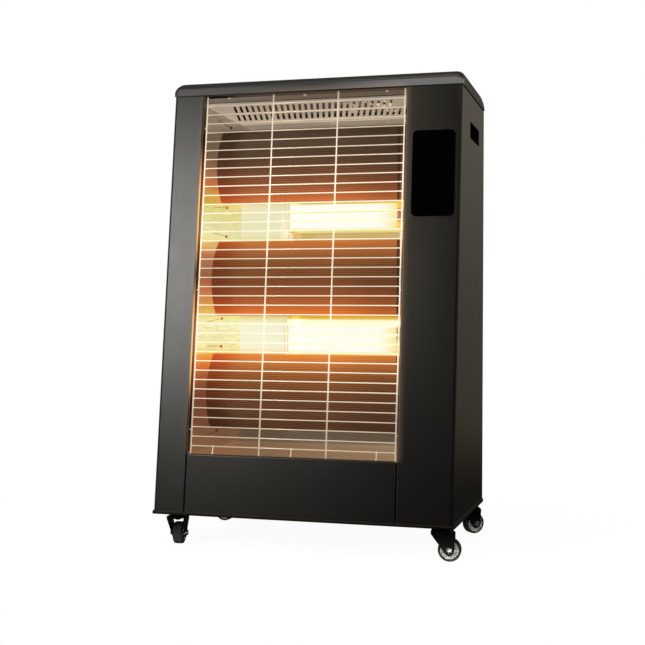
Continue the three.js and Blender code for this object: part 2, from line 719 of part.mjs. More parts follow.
// The welded wire guard: level wires behind four uprights. Its feet stand on the lower panel, its
// heads rest on the ceiling's flange and its side hooks meet the liner's walls
function wireGuard() {
  const left = openingLeft + guardSideGap;
  const right = openingRight - guardSideGap;
  const levelDepth = -guardSetback - guardUpright - guardWire + guardWeld;
  const bottom = slopeOf(openingBottom + seatGap) - (levelDepth - guardWire) * Math.sin(lean);
  const top = slopeOf(panelTop);
  const alongSlope = [outward, X, up];
  const uprights = guardUprightShares.map((share) => rod(-guardSetback, left + (right - left) * share,
    guardUpright, alongSlope, bottom, top, guardSides, frontFoot));
  const firstRow = panelTop - guardTopRow;
  const lastRow = openingBottom + guardBottomRow;
  const rowAt = (row) => slopeOf(firstRow + ((lastRow - firstRow) * row) / (guardRows - 1));
  const level = (s, w, x0, x1) =>
    rod(w, -s, guardWire, [outward, down, X], x0, x1, guardRowSides, frontFoot);
  const rows = Array.from({ length: guardRows }, (_, row) => level(rowAt(row), levelDepth, left, right));
  const sideHooks = guardSideHookShares.flatMap((share) => {
    const s = bottom + (top - bottom) * share;
    return [
      level(s, -guardSetback, chamberLeft + seatGap, left),
      level(s, -guardSetback, right, chamberRight - seatGap),
    ];
  });
  const flange = -ceilingLap * Math.cos(lean);
  const hooks = guardHookShares.flatMap((share) => {
    const x = left + (right - left) * share;
    const post = (s0, s1) => rod(levelDepth, x, guardWire, alongSlope, s0, s1, guardRowSides, frontFoot);
    const stub = (s, w0, w1) => rod(x, s, guardWire, outOfFront, w0, w1, guardRowSides, frontFoot);
    const foot = bottom + guardWire;
    const head = slopeOf(ceilingHeight + ceilingFlange) - foldRadius;
    return [
      post(foot, rowAt(guardRows - 1)), stub(foot, levelDepth - guardWire, levelDepth + guardFoot),
      post(rowAt(0), head), stub(head, flange + seatGap, levelDepth + guardFoot),
    ];
  });
  add("wire_guard", join([...uprights, ...rows, ...sideHooks, ...hooks]), "wire");
}

// The touch panel's outline on the leaning front, grown or shrunk by a margin
function touchOutline(margin = 0) {
  const s = slopeOf(touchCentreZ);
  const u = touchWidth / 2 + margin;
  const v = touchHeight / 2 + margin;
  return roundedRectangle(touchCentreX - u, touchCentreX + u, s - v, s + v,
    Math.max(touchRadius + margin, foldRadius));
}

// The touch panel: glass over a window in the sheet, a housing through the window, and its board
function touchPanel() {
  const layer = (margin, from, to) => extrude(touchOutline(margin), outOfFront, from, to, frontFoot);
  add("touch_glass", layer(0, seatGap, seatGap + touchGlass), "glass");

  const wallMargin = -touchBorder - seatGap;
  const behind = -sheet - seatGap;
  const tray = join([
    layer(wallMargin, -housingDepth, 0),
    layer(housingFlange - touchBorder, behind - housingWall, behind),
  ]);
  const hollow = layer(wallMargin - housingWall, housingWall - housingDepth, overrun);
  const s = slopeOf(touchCentreZ);
  const reachU = touchWidth / 2 + wallMargin - housingWall - boardInset - standoffRadius;
  const reachV = touchHeight / 2 + wallMargin - housingWall - boardInset - standoffRadius;
  const floor = housingWall - housingDepth;
  const posts = [[-1, -1], [1, -1], [1, 1], [-1, 1]].map(([i, j]) =>
    rod(touchCentreX + i * reachU, s + j * reachV, standoffRadius, outOfFront,
      floor - seatGap, floor + standoffLength, boltSides, frontFoot));
  add("touch_housing", join([cut(tray, [hollow]), ...posts]), "plastic");

  const boardFoot = floor + standoffLength + seatGap;
  const plate = layer(wallMargin - housingWall - boardInset, boardFoot, boardFoot + boardThickness);
  const chips = chipPlaceShares.map((share, i) => {
    const foot = s + touchHeight * share;
    const outline = rectangle(touchCentreX - chipWidth / 2, touchCentreX + chipWidth / 2,
      foot, foot + touchHeight * chipLengthShares[i]);
    return extrude(outline, outOfFront, boardFoot + boardThickness / 2,
      boardFoot + boardThickness + chipHeight, frontFoot);
  });
  add("control_board", join([plate, ...chips]), "board");
}

// Electrics behind the column: power board and terminal block on the back panel,
// tip-over switch on the base tray and a thermal cut-out on the chamber ceiling
function electrics() {
  const backFace = backY - 2 * sheet - 2 * seatGap;
  const boardFace = backFace - standoffLength;
  const centreX = halfWidth - powerBoardFromSide;
  const left = centreX - powerBoardWidth / 2;
  const right = centreX + powerBoardWidth / 2;
  const bottom = panelBottom + powerBoardFromFloor;
  const top = bottom + powerBoardHeight;
  const inset = boardInset + standoffRadius;
  const middle = (bottom + top) / 2;
  const standoffs = [[left, bottom], [right, bottom], [right, top], [left, top]]
    .map(([x, z]) => rod(
      z + Math.sign(middle - z) * inset,
      x + Math.sign(centreX - x) * inset,
      standoffRadius, alongY, boardFace - boardThickness / 2, backFace, boltSides));
  const partTop = boardFace - boardThickness - relayHeight;
  const partFoot = boardFace - boardThickness / 2;
  const relayLeft = left + inset;
  const relays = relayPlaceShares.map((share) => {
    const foot = bottom + powerBoardHeight * share;
    return box(relayLeft, relayLeft + relayWidth, partTop, partFoot, foot, foot + relayLength);
  });
  const coil = rod(middle, right - inset - coilRadius, coilRadius, alongY, partTop, partFoot);
  const plate = box(left, right, boardFace - boardThickness, boardFace, bottom, top);
  add("power_board", join([plate, ...standoffs, ...relays, coil]), "board");

  const half = terminalLength / 2;
  const pole = terminalLength / terminalPoles;
  const terminalBottom = panelBottom + terminalFromFloor;
  const housing = box(centreX - half, centreX + half, backFace - terminalDepth, backFace,
    terminalBottom, terminalBottom + terminalHeight);
  const wells = Array.from({ length: terminalPoles }, (_, i) => rod(
    terminalBottom + terminalHeight / 2, centreX - half + pole / 2 + pole * i, terminalWell,
    alongY, backFace - terminalDepth - overrun, backFace - terminalDepth / 2, boltSides));
  add("terminal_block", cut(housing, wells), "plastic");

  const trayTop = trayBottom + trayFloor + seatGap;
  const switchX = halfWidth - tipSwitchFromSide;
  const switchY = backY - tipSwitchFromBack;
  const block = (width, height) => box(switchX - width / 2, switchX + width / 2,
    switchY - tipSwitchDepth / 2, switchY + tipSwitchDepth / 2, trayTop, trayTop + height);
  const tipSwitch = join([block(tipSwitchSize, tipSwitchHeight), block(tipSwitchFoot, trayFloor)]);
  add("tip_over_switch", tipSwitch, "plastic");

  const profile = [
    [0, 0], [cutoutFlange, 0], [cutoutFlange, linerSheet], [cutoutRadius, linerSheet],
    [cutoutRadius, cutoutHeight], [0, cutoutHeight],
  ];
  const seat = new THREE.Vector3(
    chamberRight - cutoutFromWall, reflectorY - cutoutFromReflector, ceilingHeight + linerSheet + seatGap);
  add("thermal_cutout", turned(profile, alongZ, seat, roundSteps), "steel");
}

// One swivel castor: the plate with its race and kingpin stays on the tray, the fork turns about the
// kingpin, the axle bolt goes with the fork, and the hub and tyre turn on the axle
function castor({ place, turn, x, y }) {
  const name = (part) => `castor_${place}_${part}`;
  const plateTop = trayBottom - seatGap;
  const plateFoot = plateTop - plateThickness;
  const raceFoot = plateFoot - raceHeight;
  const crownTop = raceFoot - seatGap;
  const crownFoot = crownTop - crownThickness;
  const headTop = crownFoot - seatGap;

  const still = new THREE.Group();
  still.position.set(x, y, 0);
  heater.add(still);
  const half = plateSize / 2;
  const plate = extrude(roundedRectangle(-half, half, -half, half, plateRadius), alongZ, plateFoot, plateTop);
  const reach = plateHoleSpacing / 2;
  const holes = [[-reach, -reach], [reach, -reach], [reach, reach], [-reach, reach]].map(([u, v]) =>
    rod(u, v, plateHole, alongZ, plateFoot - overrun, plateTop + overrun, boltSides));
  const race = rod(0, 0, raceRadius, alongZ, raceFoot, plateFoot + plateThickness / 2);
  const kingpin = rod(0, 0, kingpinRadius, alongZ, headTop - kingpinHeadHeight / 2,
    raceFoot + raceHeight / 2, boltSides);
  const head = rod(0, 0, kingpinHead, alongZ, headTop - kingpinHeadHeight, headTop, boltSides);
  add(name("plate"), join([cut(plate, holes), race, kingpin, head]), "castor", still);

  const moving = new THREE.Group();
  moving.position.set(x, y, 0);
  moving.rotation.z = THREE.MathUtils.degToRad(turn);
  heater.add(moving);
  const sideways = [X, Z, Y.clone().negate()];
  const outline = [
    [-crownHalfLength, crownTop],
    [-crownHalfLength, crownFoot],
    ...arc(castorTrail, wheelRadius, forkFoot, forkFoot, forkFootStart, forkFootEnd, shoulderSteps * 2),
    [crownHalfLength + forkShoulder, crownFoot],
    [crownHalfLength, crownTop],
  ];
  const legFace = forkGap / 2 + forkLeg;
  const slot = box(-2 * wheelRadius, 2 * wheelRadius + castorTrail, -forkGap / 2, forkGap / 2,
    -overrun, crownFoot);
  const bore = rod(0, 0, kingpinRadius + seatGap, alongZ, crownFoot - overrun, crownTop + overrun);
  const axleHole = rod(castorTrail, wheelRadius, axleRadius + seatGap, sideways, -legFace - overrun,
    legFace + overrun);
  const pressing = extrude(outline, sideways, -legFace, legFace);
  add(name("fork"), cut(pressing, [slot, bore, axleHole]), "castor", moving);

  const axle = (r, from, to, sides) => rod(castorTrail, wheelRadius, r, sideways, from, to, sides);
  add(name("axle"), join([
    axle(axleRadius, -legFace - nutHeight, legFace + boltHeadHeight / 2),
    axle(boltHead, legFace + seatGap, legFace + boltHeadHeight, boltSides),
    axle(boltHead, -legFace - nutHeight + seatGap, -legFace - seatGap, boltSides),
  ]), "steel", moving);

  const axis = new THREE.Vector3(castorTrail, 0, wheelRadius);
  const rimHalf = wheelWidth / 2 - hubInset;
  const bossHalf = forkGap / 2 - seatGap;
  const hubOut = hubRadius - seatGap;
  const ringIn = hubOut - hubRing;
  const webHalf = rimHalf - hubRecess; // the web is dished from the boss to the ring
  const bore0 = axleRadius + seatGap;
  const hub = [
    [bore0, -bossHalf], [hubBoss, -bossHalf], [ringIn, -webHalf], [ringIn, -rimHalf], [hubOut, -rimHalf],
    [hubOut, rimHalf], [ringIn, rimHalf], [ringIn, webHalf], [hubBoss, bossHalf], [bore0, bossHalf],
    [bore0, -bossHalf],
  ];
  add(name("hub"), turned(hub, sideways, axis), "hub", moving);
  const halfTread = wheelWidth / 2;
  const shoulder = (h, start, end) =>
    arc(wheelRadius - tyreShoulder, h, tyreShoulder, tyreShoulder, start, end, shoulderSteps);
  const tyre = [
    [hubRadius, -halfTread],
    ...shoulder(tyreShoulder - halfTread, -90, 0),
    ...shoulder(halfTread - tyreShoulder, 0, 90),
    [hubRadius, halfTread], [hubRadius, -halfTread],
  ];
  add(name("tyre"), turned(tyre, sideways, axis), "rubber", moving);
}

baseTray();
sidePanels();
frontLowerPanel();
backPanel();
cordBushing();
lid();
handlePockets();
chamber();
["upper", "middle", "lower"].forEach((place, i) => drum(`drum_${place}`, upChamber(drumPlaceShares[i])));
["upper", "lower"].forEach((bank, i) => lampBank(bank, upChamber(lampPlaceShares[i])));
lampRails();
wireGuard();
touchPanel();
electrics();
castorPlaces().forEach(castor);

heater.name = "infrared_heater";
export default heater;
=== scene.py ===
"""Looks of a roll-about infrared heater: finishes, lid, glowing lamps, wire guard and castors.

Lengths are metres. +Z is up, the front faces -Y and leans back.
"""

import json
import math

import bmesh
import bpy
from mathutils import Matrix, Vector


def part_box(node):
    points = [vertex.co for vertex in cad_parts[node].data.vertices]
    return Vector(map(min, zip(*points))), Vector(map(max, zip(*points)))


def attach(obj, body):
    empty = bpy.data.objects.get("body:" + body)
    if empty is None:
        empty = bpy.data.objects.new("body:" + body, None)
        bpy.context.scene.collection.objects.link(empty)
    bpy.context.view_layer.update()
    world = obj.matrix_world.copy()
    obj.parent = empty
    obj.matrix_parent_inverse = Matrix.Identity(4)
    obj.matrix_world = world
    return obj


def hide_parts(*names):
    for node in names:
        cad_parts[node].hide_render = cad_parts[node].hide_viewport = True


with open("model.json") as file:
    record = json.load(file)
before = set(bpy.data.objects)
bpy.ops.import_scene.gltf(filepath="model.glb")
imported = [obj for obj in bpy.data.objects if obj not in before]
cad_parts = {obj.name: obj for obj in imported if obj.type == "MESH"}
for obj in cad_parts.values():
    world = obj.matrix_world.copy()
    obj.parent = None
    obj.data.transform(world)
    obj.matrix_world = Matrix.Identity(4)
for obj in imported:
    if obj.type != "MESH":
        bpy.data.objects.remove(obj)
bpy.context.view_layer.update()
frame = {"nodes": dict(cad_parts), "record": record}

bl_info = {
    "name": "Infrared heater looks",
    "version": (1, 0, 0),
    "blender": (4, 5, 0),
    "location": "3D View > Sidebar > Heater",
    "description": "Dresses the heater's solids and builds its fine pieces",
    "category": "Object",
}

MM = 0.001

# Places of the cabinet that the pieces are set against
pillar_low, pillar_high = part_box("left_side_panel")
column_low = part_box("right_side_panel")[0]
lower_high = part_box("front_lower_panel")[1]
wall_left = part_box("chamber_left_wall")[1].x
wall_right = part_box("chamber_right_wall")[0].x
ceiling_low, ceiling_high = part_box("chamber_ceiling")
reflector_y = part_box("back_reflector")[0].y
drum_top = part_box("drum_upper")[1].z
tray_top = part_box("base_tray")[1].z
lamps_left, lamps_right = (corner.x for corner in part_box("lamp_upper_1"))

BANKS = ("upper", "lower")
LAMPS = [f"{bank}_{row}" for bank in BANKS for row in (1, 2, 3)]
DRUMS = ("drum_upper", "drum_middle", "drum_lower")
WHITE = (1.0, 1.0, 1.0)
# The camera's sensor in millimetres, the photograph's side in pixels and the shift of its middle
SENSOR_WIDTH, PHOTO_SIDE, PHOTO_SHIFT = 36.0, 645, (3.1, -32.0)
# Each light's power setting, place, target and size, and its spread in degrees
LIGHTS = {
    "front_softbox": ("front", (-1.45, -2.7, 1.34), (-0.3, -0.2, 0.66), (0.65, 0.95), 180),
    "key_softbox": ("key", (0.1, -1.05, 2.7), (0.0, -0.1, 0.8), (1.3, 1.0), 180),
    "side_light": ("side", (1.25, -1.5, 2.2), (0.25, -0.1, 1.0), (0.5, 0.5), 180),
    "castor_light": ("low", (0.35, -1.6, 0.07), (0.0, -0.2, -0.03), (1.0, 0.03), 6),
}


def centre_of(node):
    """The middle of a solid's box."""
    return sum(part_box(node), Vector()) / 2


bank_heights = [centre_of(f"lamp_{bank}_2").z for bank in BANKS]


def length(name, description, millimetres):
    """A length that a user can change."""
    return bpy.props.FloatProperty(
        name=name, description=description, default=millimetres * MM, min=0.0, precision=5, unit="LENGTH")


def amount(name, description, default):
    """A plain number that a user can change."""
    return bpy.props.FloatProperty(name=name, description=description, default=default, min=0.0)


def angle(name, description, degrees):
    """An angle that a user can change."""
    return bpy.props.FloatProperty(
        name=name, description=description, default=math.radians(degrees), subtype="ANGLE")


def colour(name, description, default):
    """A colour that a user can change."""
    return bpy.props.FloatVectorProperty(
        name=name, description=description, default=default, size=3, min=0.0, max=1.0, subtype="COLOR")


class HeaterCabinet(bpy.types.PropertyGroup):
    """Sizes and colours of the painted cabinet and its lid."""

    lean: length("Lean", "How far the front leans back over the height of the panels", 97)
    paint: colour("Paint", "Bronze powder paint", (0.0135, 0.0112, 0.0062))
    lid: colour("Lid", "Charcoal moulding", (0.036, 0.034, 0.031))
    lid_gap: length("Lid gap", "Shadow line between panels and lid", 2.8)
    lid_overhang: length("Lid overhang", "How far the lid stands out past the panels", 1.5)
    lid_fascia: length("Lid fascia", "Upright front of the lid", 15)
    lid_front_run: length("Front curve", "Depth of the lid's front curve", 48)
    lid_back_fascia: length("Back fascia", "Upright back of the lid", 5)
    lid_back_run: length("Back curve", "Depth of the lid's back curve", 62)
    lid_wall: length("Lid wall", "Thickness of the moulding", 2.5)
    lid_end_radius: length("End rounding", "Rounding of the lid's ends", 18)
    lid_end_inset: length("End inset", "How far the rounding draws in the fascia", 3)
    screw_head: length("Screw head", "Radius of the cabinet's screw heads", 3.6)


class HeaterChamber(bpy.types.PropertyGroup):
    """Sizes and colours of the radiant chamber."""

    lamp_radius: length("Lamp radius", "Radius of the quartz tubes", 9)
    seal_length: length("Lamp seal", "Length of the pinched end of a tube", 5)
    coil_pitch: length("Coil pitch", "Pitch of the glowing coil in a tube", 5)
    lamp_glow: colour("Lamp glow", "Colour of the hot coil's light", (0.985, 0.965, 0.88))
    liner: colour("Liner", "Polished steel of the walls", (0.60, 0.56, 0.50))
    drum: colour("Drum", "Heat-darkened steel of the drums", (0.080, 0.050, 0.032))
    # Colours of the lamplight painted on the drums' edges beside the lamps
    drum_edge_light: colour("Drum glow", "Dull orange of a drum's hot upper edge", (0.74, 0.205, 0.022))
    drum_foot_light: colour("Drum foot", "Redder glow of a drum's hot lower edge", (0.74, 0.155, 0.014))
    drum_end_light: colour("Drum ends", "Deeper red towards a drum's left end", (0.70, 0.085, 0.010))
    rod_length: length("Drum rod", "Length of the rods that hold the drums", 91)


class HeaterGuard(bpy.types.PropertyGroup):
    """Sizes and colour of the welded wire guard."""

    level: length("Level wire", "Radius of the level wires", 1.2)
    upright: length("Upright wire", "Radius of the upright wires", 1.7)
    setback: length("Setback", "Centre of the uprights behind the front plane", 10)
    weld: length("Weld", "How far crossing wires sink into each other", 0.5)
    top_row: length("Top row", "From the top of the panels to the highest level wire", 20.5)
    bottom_row: length("Bottom row", "From the opening's foot to the lowest level wire", 19)
    side_gap: length("Side gap", "From the opening's edge to the outer uprights", 5.5)
    foot: length("Hook", "Length of the hooks' feet", 6)
    rows: bpy.props.IntProperty(name="Rows", description="Number of level wires", default=38, min=2)
    plating: colour("Plating", "Plated wire, warm with the lamps behind it", (0.80, 0.72, 0.58))


class HeaterCastors(bpy.types.PropertyGroup):
    """Sizes and colours of the swivel castors."""

    wheel: length("Wheel radius", "Radius of the tyre", 25)
    tread: length("Tread width", "Width of the tyre", 22)
    hub: length("Hub radius", "Radius of the hub", 20)
    trail: length("Trail", "From the kingpin to the axle", 18)
    fork_gap: length("Fork gap", "Between the legs of the fork", 25)
    leg: length("Leg", "Thickness of a fork leg", 2.4)
    bolt: length("Bolt head", "Radius of the axle bolt's head", 6.2)
    plate: length("Plate", "Side of the square top plate", 44)
    plate_thickness: length("Plate thickness", "Thickness of the top plate", 2.5)
    plate_screws: length("Plate screws", "Between the screws along a side of the plate", 33)
    race: length("Race", "Height of the ball race under the plate", 4.7)
    crown: length("Crown", "Height of the fork's crown", 7)
    gap: length("Gap", "Play between parts that turn or stand apart", 0.3)
    steel: colour("Castor steel", "Black plated forks and plates", (0.020, 0.018, 0.015))
    hub_colour: colour("Hub", "Pale moulded hub", (0.62, 0.61, 0.58))
    tyre: colour("Tyre", "Dark rubber", (0.030, 0.029, 0.027))


class HeaterStage(bpy.types.PropertyGroup):
    """The camera, the lamps of the studio and its floor."""

    camera: bpy.props.FloatVectorProperty(
        name="Camera", description="Place of the camera", default=(0.7443, -2.7163, 0.4906), subtype="XYZ")
    turn: angle("Turn", "Camera turned left", 15.68)
    tilt: angle("Tilt", "Camera tilted up", 1.89)
    roll: angle("Roll", "Camera rolled", 0.51)
    lens: bpy.props.FloatProperty(
        name="Lens", description="Focal length on a 36 mm sensor", default=66.43, unit="CAMERA")
    floor_size: bpy.props.FloatProperty(
        name="Floor", description="Side of the floor", default=14.0, unit="LENGTH")
    key: amount("Key light", "Power of the high front softbox in watts", 9.0)
    front: amount("Front light", "Power of the low front softbox in watts", 20.0)
    side: amount("Side light", "Power of the small light at the right in watts", 3.0)
    low: amount("Castor light", "Power of the low strip light before the castors in watts", 0.33)
    floor_colour: colour("Floor colour", "Pale studio floor", (0.30, 0.30, 0.30))


SETTINGS = {
    "heater_cabinet": HeaterCabinet,
    "heater_chamber": HeaterChamber,
    "heater_guard": HeaterGuard,
    "heater_castors": HeaterCastors,
    "heater_stage": HeaterStage,
}


def settings(group):
    """One group of this scene's sizes and colours."""
    return getattr(bpy.context.scene, f"heater_{group}")


class Signal:
    """A value inside a shader. Using it in an expression adds the Math node for it."""

    def __init__(self, recipe, socket):
        self.recipe = recipe
        self.socket = socket

    def port(self, name):
        """Another output of the node that this value comes from."""
        return Signal(self.recipe, self.socket.node.outputs[name])

    def math(self, operation, *values):
        """A Math node on the values."""
        return self.recipe.node("ShaderNodeMath", {"operation": operation}, dict(enumerate(values)))

    def smooth(self, start, end):
        """0 before start and 1 after end, with a soft step between them."""
        return self.recipe.node(
            "ShaderNodeMapRange", {"interpolation_type": "SMOOTHSTEP"},
            {"Value": self, "From Min": start, "From Max": end})

    def fade(self, start, end):
        """1 before start and 0 after end."""
        return 1.0 - self.smooth(start, end)

    def past(self, start, end, place=0.0):
        """0 up to start and 1 from end, which are millimetres past a place."""
        return self.smooth(place + start * MM, place + end * MM)

    def until(self, start, end, place=0.0):
        """1 up to start and 0 from end, which are millimetres past a place."""
        return 1.0 - self.past(start, end, place)

    def near(self, centre, full, gone):
        """1 within so many millimetres of a centre, and 0 beyond the larger distance."""
        return abs(self - centre).until(full, gone)

    def least(self, other):
        """The smaller of two values."""
        return self.math("MINIMUM", self, other)

    def most(self, other):
        """The larger of two values."""
        return self.math("MAXIMUM", self, other)

    def wave(self):
        """The sine of the value."""
        return self.math("SINE", self)

    def __abs__(self):
        return self.math("ABSOLUTE", self)


# Each arithmetic sign adds its Math node, whichever side of it the signal stands on
SIGNS = {"add": "ADD", "sub": "SUBTRACT", "mul": "MULTIPLY", "truediv": "DIVIDE", "pow": "POWER"}
for sign, operation in SIGNS.items():
    setattr(Signal, f"__{sign}__", lambda self, other, kind=operation: self.math(kind, self, other))
    setattr(Signal, f"__r{sign}__", lambda self, other, kind=operation: self.math(kind, other, self))


class Recipe:
    """The nodes of one material or world, added one at a time."""

    def __init__(self, owner):
        owner.use_nodes = True
        self.tree = owner.node_tree

    def node(self, kind, fields=None, inputs=None, output=0):
        """Adds a node: its own fields first, then the values or links of its sockets."""
        made = self.tree.nodes.new(kind)
        for name, value in (fields or {}).items():
            if name == "stops":
                lay_stops(made.color_ramp, value)
            else:
                setattr(made, name, value)
        for name, value in (inputs or {}).items():
            self.feed(made.inputs[name], value)
        return Signal(self, made.outputs[output])

    def feed(self, socket, value):
        """Links a value to a socket, or sets it there."""
        if isinstance(value, Signal):
            self.tree.links.new(value.socket, socket)
        else:
            socket.default_value = value

    def mix(self, share, first, second):
        """Two colours mixed by a share."""
        return self.node(
            "ShaderNodeMix", {"data_type": "RGBA"}, {0: share, 6: opaque(first), 7: opaque(second)}, output=2)

    def shaded(self, share, tint, dark, light):
        """A colour that goes from a darker to a lighter shade of itself."""
        return self.mix(share, *(tuple(c * factor for c in tint) for factor in (dark, light)))

    def scaled(self, tint, factor):
        """A colour made brighter or darker."""
        return self.node("ShaderNodeVectorMath", {"operation": "SCALE"}, {0: tint, 3: factor})

    def summed(self, total, *others):
        """Colours added up."""
        for other in others:
            total = self.node("ShaderNodeVectorMath", {"operation": "ADD"}, {0: total, 1: other})
        return total

    def ramp(self, value, stops):
        """A colour read off a ramp of (place, colour) stops."""
        return self.node("ShaderNodeValToRGB", {"stops": stops}, {"Fac": value})

    def place(self):
        """The point on the surface, in the object's own metres."""
        return self.node("ShaderNodeTexCoord", output="Object")

    def split(self, vector):
        """The three numbers of a vector."""
        x = self.node("ShaderNodeSeparateXYZ", inputs={0: vector})
        return x, x.port("Y"), x.port("Z")

    def point(self):
        """The three numbers of the point on the surface."""
        return self.split(self.place())

    def faces(self):
        """The three numbers of the way that the surface faces."""
        return self.split(self.node("ShaderNodeNewGeometry", output="Normal"))

    def noise(self, scale, detail=2.0, where=None):
        """Soft noise about 0.5, with features of about 1 / scale metres."""
        return self.node(
            "ShaderNodeTexNoise", inputs={"Vector": where or self.place(), "Scale": scale, "Detail": detail})

    def stretched(self, x, y, z):
        """The point on the surface with its axes stretched, for brushed and drawn marks."""
        return self.node("ShaderNodeVectorMath", {"operation": "MULTIPLY"}, {0: self.place(), 1: (x, y, z)})


def opaque(tint):
    """A colour with its alpha, or a value as it is."""
    return tint if isinstance(tint, Signal) else (*tuple(tint)[:3], 1.0)


def lay_stops(ramp, stops):
    """Puts (place, colour) stops on a colour ramp."""
    while len(ramp.elements) < len(stops):
        ramp.elements.new(1.0)
    for element, (place, tint) in zip(ramp.elements, stops):
        element.position = place
        element.color = opaque(tint)


class Finish(Recipe):
    """A material with one principled shader."""

    def __init__(self, name, **constants):
        self.material = bpy.data.materials.new(name)
        super().__init__(self.material)
        self.shader = self.tree.nodes["Principled BSDF"]
        for socket, value in constants.items():
            self.set(socket.replace("_", " "), value)

    def set(self, socket, value):
        """Sets or links one socket of the shader."""
        if "Color" in socket:
            value = opaque(value)
        self.feed(self.shader.inputs[socket], value)

    def glow(self, *tints):
        """The light that the surface gives off: a lamp's own, or light and reflections painted on other
        surfaces.
        """
        self.set("Emission Color", self.summed(*tints))
        self.set("Emission Strength", 1.0)

    def bump(self, height, strength, distance):
        """Fine relief on the surface."""
        self.set("Normal", self.node(
            "ShaderNodeBump", inputs={"Height": height, "Strength": strength, "Distance": distance}))


RECIPES = {}


def recipe_of_slot(**constants):
    """Marks a function as the recipe of the slot that it's named after, with the shader's constants."""
    def keep(recipe):
        RECIPES[recipe.__name__] = (recipe, constants)
        return recipe
    return keep


# Painted lamplight and painted reflections on the chamber's steel: its side walls, its back behind the lamps
# and its back beside them. A stop is a height in millimetres above the floor, then red, green and blue in
# thousandths
HEIGHT_SPAN = (200, 1012)
WALL_STOPS = [
    (210, 110, 45, 18), (290, 150, 57, 27), (336, 139, 43, 20), (360, 168, 60, 27),
    (383, 312, 84, 31), (406, 555, 153, 35), (429, 540, 293, 37), (445, 440, 400, 90),
    (476, 440, 410, 160), (499, 470, 460, 220), (523, 440, 470, 150), (546, 510, 310, 58),
    (570, 474, 190, 60), (593, 360, 110, 50), (617, 216, 104, 40), (640, 280, 136, 70),
    (664, 363, 145, 60), (688, 565, 400, 130), (711, 420, 440, 200), (735, 370, 340, 150),
    (783, 340, 310, 20), (806, 510, 335, 70), (830, 507, 143, 38), (854, 315, 147, 66),
    (878, 204, 107, 60), (902, 138, 87, 56), (955, 133, 97, 67), (974, 85, 60, 45),
    (998, 60, 50, 42),
]
BEHIND_STOPS = [
    (250, 90, 65, 42), (400, 120, 60, 30), (420, 500, 180, 50), (431, 850, 700, 240),
    (437, 950, 860, 450), (498, 1000, 950, 700), (515, 1000, 940, 660), (518, 700, 460, 10),
    (525, 660, 400, 10), (532, 400, 140, 40), (600, 160, 70, 30), (700, 420, 220, 70),
    (728, 580, 400, 120), (730, 380, 250, 70), (732, 640, 550, 170), (740, 760, 680, 240),
    (796, 860, 760, 300), (802, 780, 600, 100), (808, 680, 470, 60), (818, 300, 120, 40),
    (900, 100, 60, 40),
]
BESIDE_STOPS = [
    (250, 90, 65, 42), (400, 120, 60, 30), (415, 500, 200, 70), (430, 760, 660, 300),
    (442, 860, 830, 620), (505, 860, 830, 620), (518, 760, 690, 300), (535, 450, 180, 60),
    (700, 450, 200, 70), (716, 720, 660, 260), (730, 760, 740, 480), (800, 760, 740, 500),
    (810, 700, 620, 240), (830, 450, 200, 70), (900, 100, 60, 40),
]
# The light on the ceiling's front flange, from its lower edge up
FLANGE_STOPS = [
    (0.0, (0.36, 0.30, 0.24)), (0.30, (0.30, 0.25, 0.20)), (0.36, (0.035, 0.022, 0.014)),
    (0.44, (0.035, 0.022, 0.014)), (0.50, (0.13, 0.095, 0.066)), (0.92, (0.12, 0.085, 0.058)),
    (1.0, (0.06, 0.024, 0.012)),
]
# How many millimetres from a lamp bank its painted lamplight colours are full, and how far they reach
PAINTED_LIGHT_REACH = (35, 165)
WIRE_REACH = (30, 190)
# Deep red of the painted lamplight on the turned-in edges
DEEP_PAINTED_LIGHT = (0.24, 0.030, 0.006)
# How far from a drum's edge its painted lamplight falls to a third, and the radius that its face is read with
DRUM_FADE, DRUM_RADIUS = 36 * MM, 120 * MM
# The camera's line past the column's edge runs this far sideways for each metre behind the front; the drums'
# painted shadow lies along it
SIGHT_SLOPE = 0.212


def front_slope():
    """How far the front leans back for each metre of height."""
    return settings("cabinet").lean / (pillar_high.z - pillar_low.z)


def behind_front(y, z):
    """Depth of a point behind the leaning front."""
    return y - pillar_low.y - (z - pillar_low.z) * front_slope()


def beside_lamps(recipe, reach):
    """1 at the height of the nearest lamp bank and 0 beyond its reach."""
    z = recipe.point()[2]
    upper, lower = (abs(z - height) for height in bank_heights)
    return upper.least(lower).until(*reach)


def painted_light_at_height(recipe, table):
    """The painted lamplight on the chamber's steel at the point's height."""
    low, high = HEIGHT_SPAN
    stops = [((height - low) / (high - low), [c / 1000 for c in tint]) for height, *tint in table]
    z = recipe.point()[2]
    return recipe.ramp((z / MM - low) / (high - low), stops)


@recipe_of_slot(Specular_IOR_Level=0.8)
def bronze_paint(paint):
    """Dark bronze powder paint with painted lamplight beside the opening, painted shade towards the bottom,
    most on the right, and a painted highlight along the base tray's upper edge.
    """
    x, _, z = paint.point()
    tint = settings("cabinet").paint
    powder = paint.shaded(paint.noise(1400.0, 3.0).smooth(0.35, 0.7), tint, 1.0, 1.35)
    # Painted shade: the paint is darker towards the bottom, most on the right
    foot = z.until(120, 420) * x.past(-150, 250)
    # Painted highlight: a thin line six times as light along the base tray's upper edge
    painted_lip_light = z.near(tray_top - 1.6 * MM, 0.7, 1.5)
    paint.set("Base Color", paint.mix(
        painted_lip_light, paint.scaled(powder, 1.0 - 0.75 * foot), tuple(c * 6.0 for c in tint)))
    paint.set("Roughness", 0.29 + 0.06 * paint.noise(35.0))
    paint.bump(paint.noise(900.0, 2.0), 0.10, 0.15 * MM)
    above = z.past(-2, 6, lower_high.z)
    paint.glow(margin_light(paint, above), painted_rim_light(paint, above))


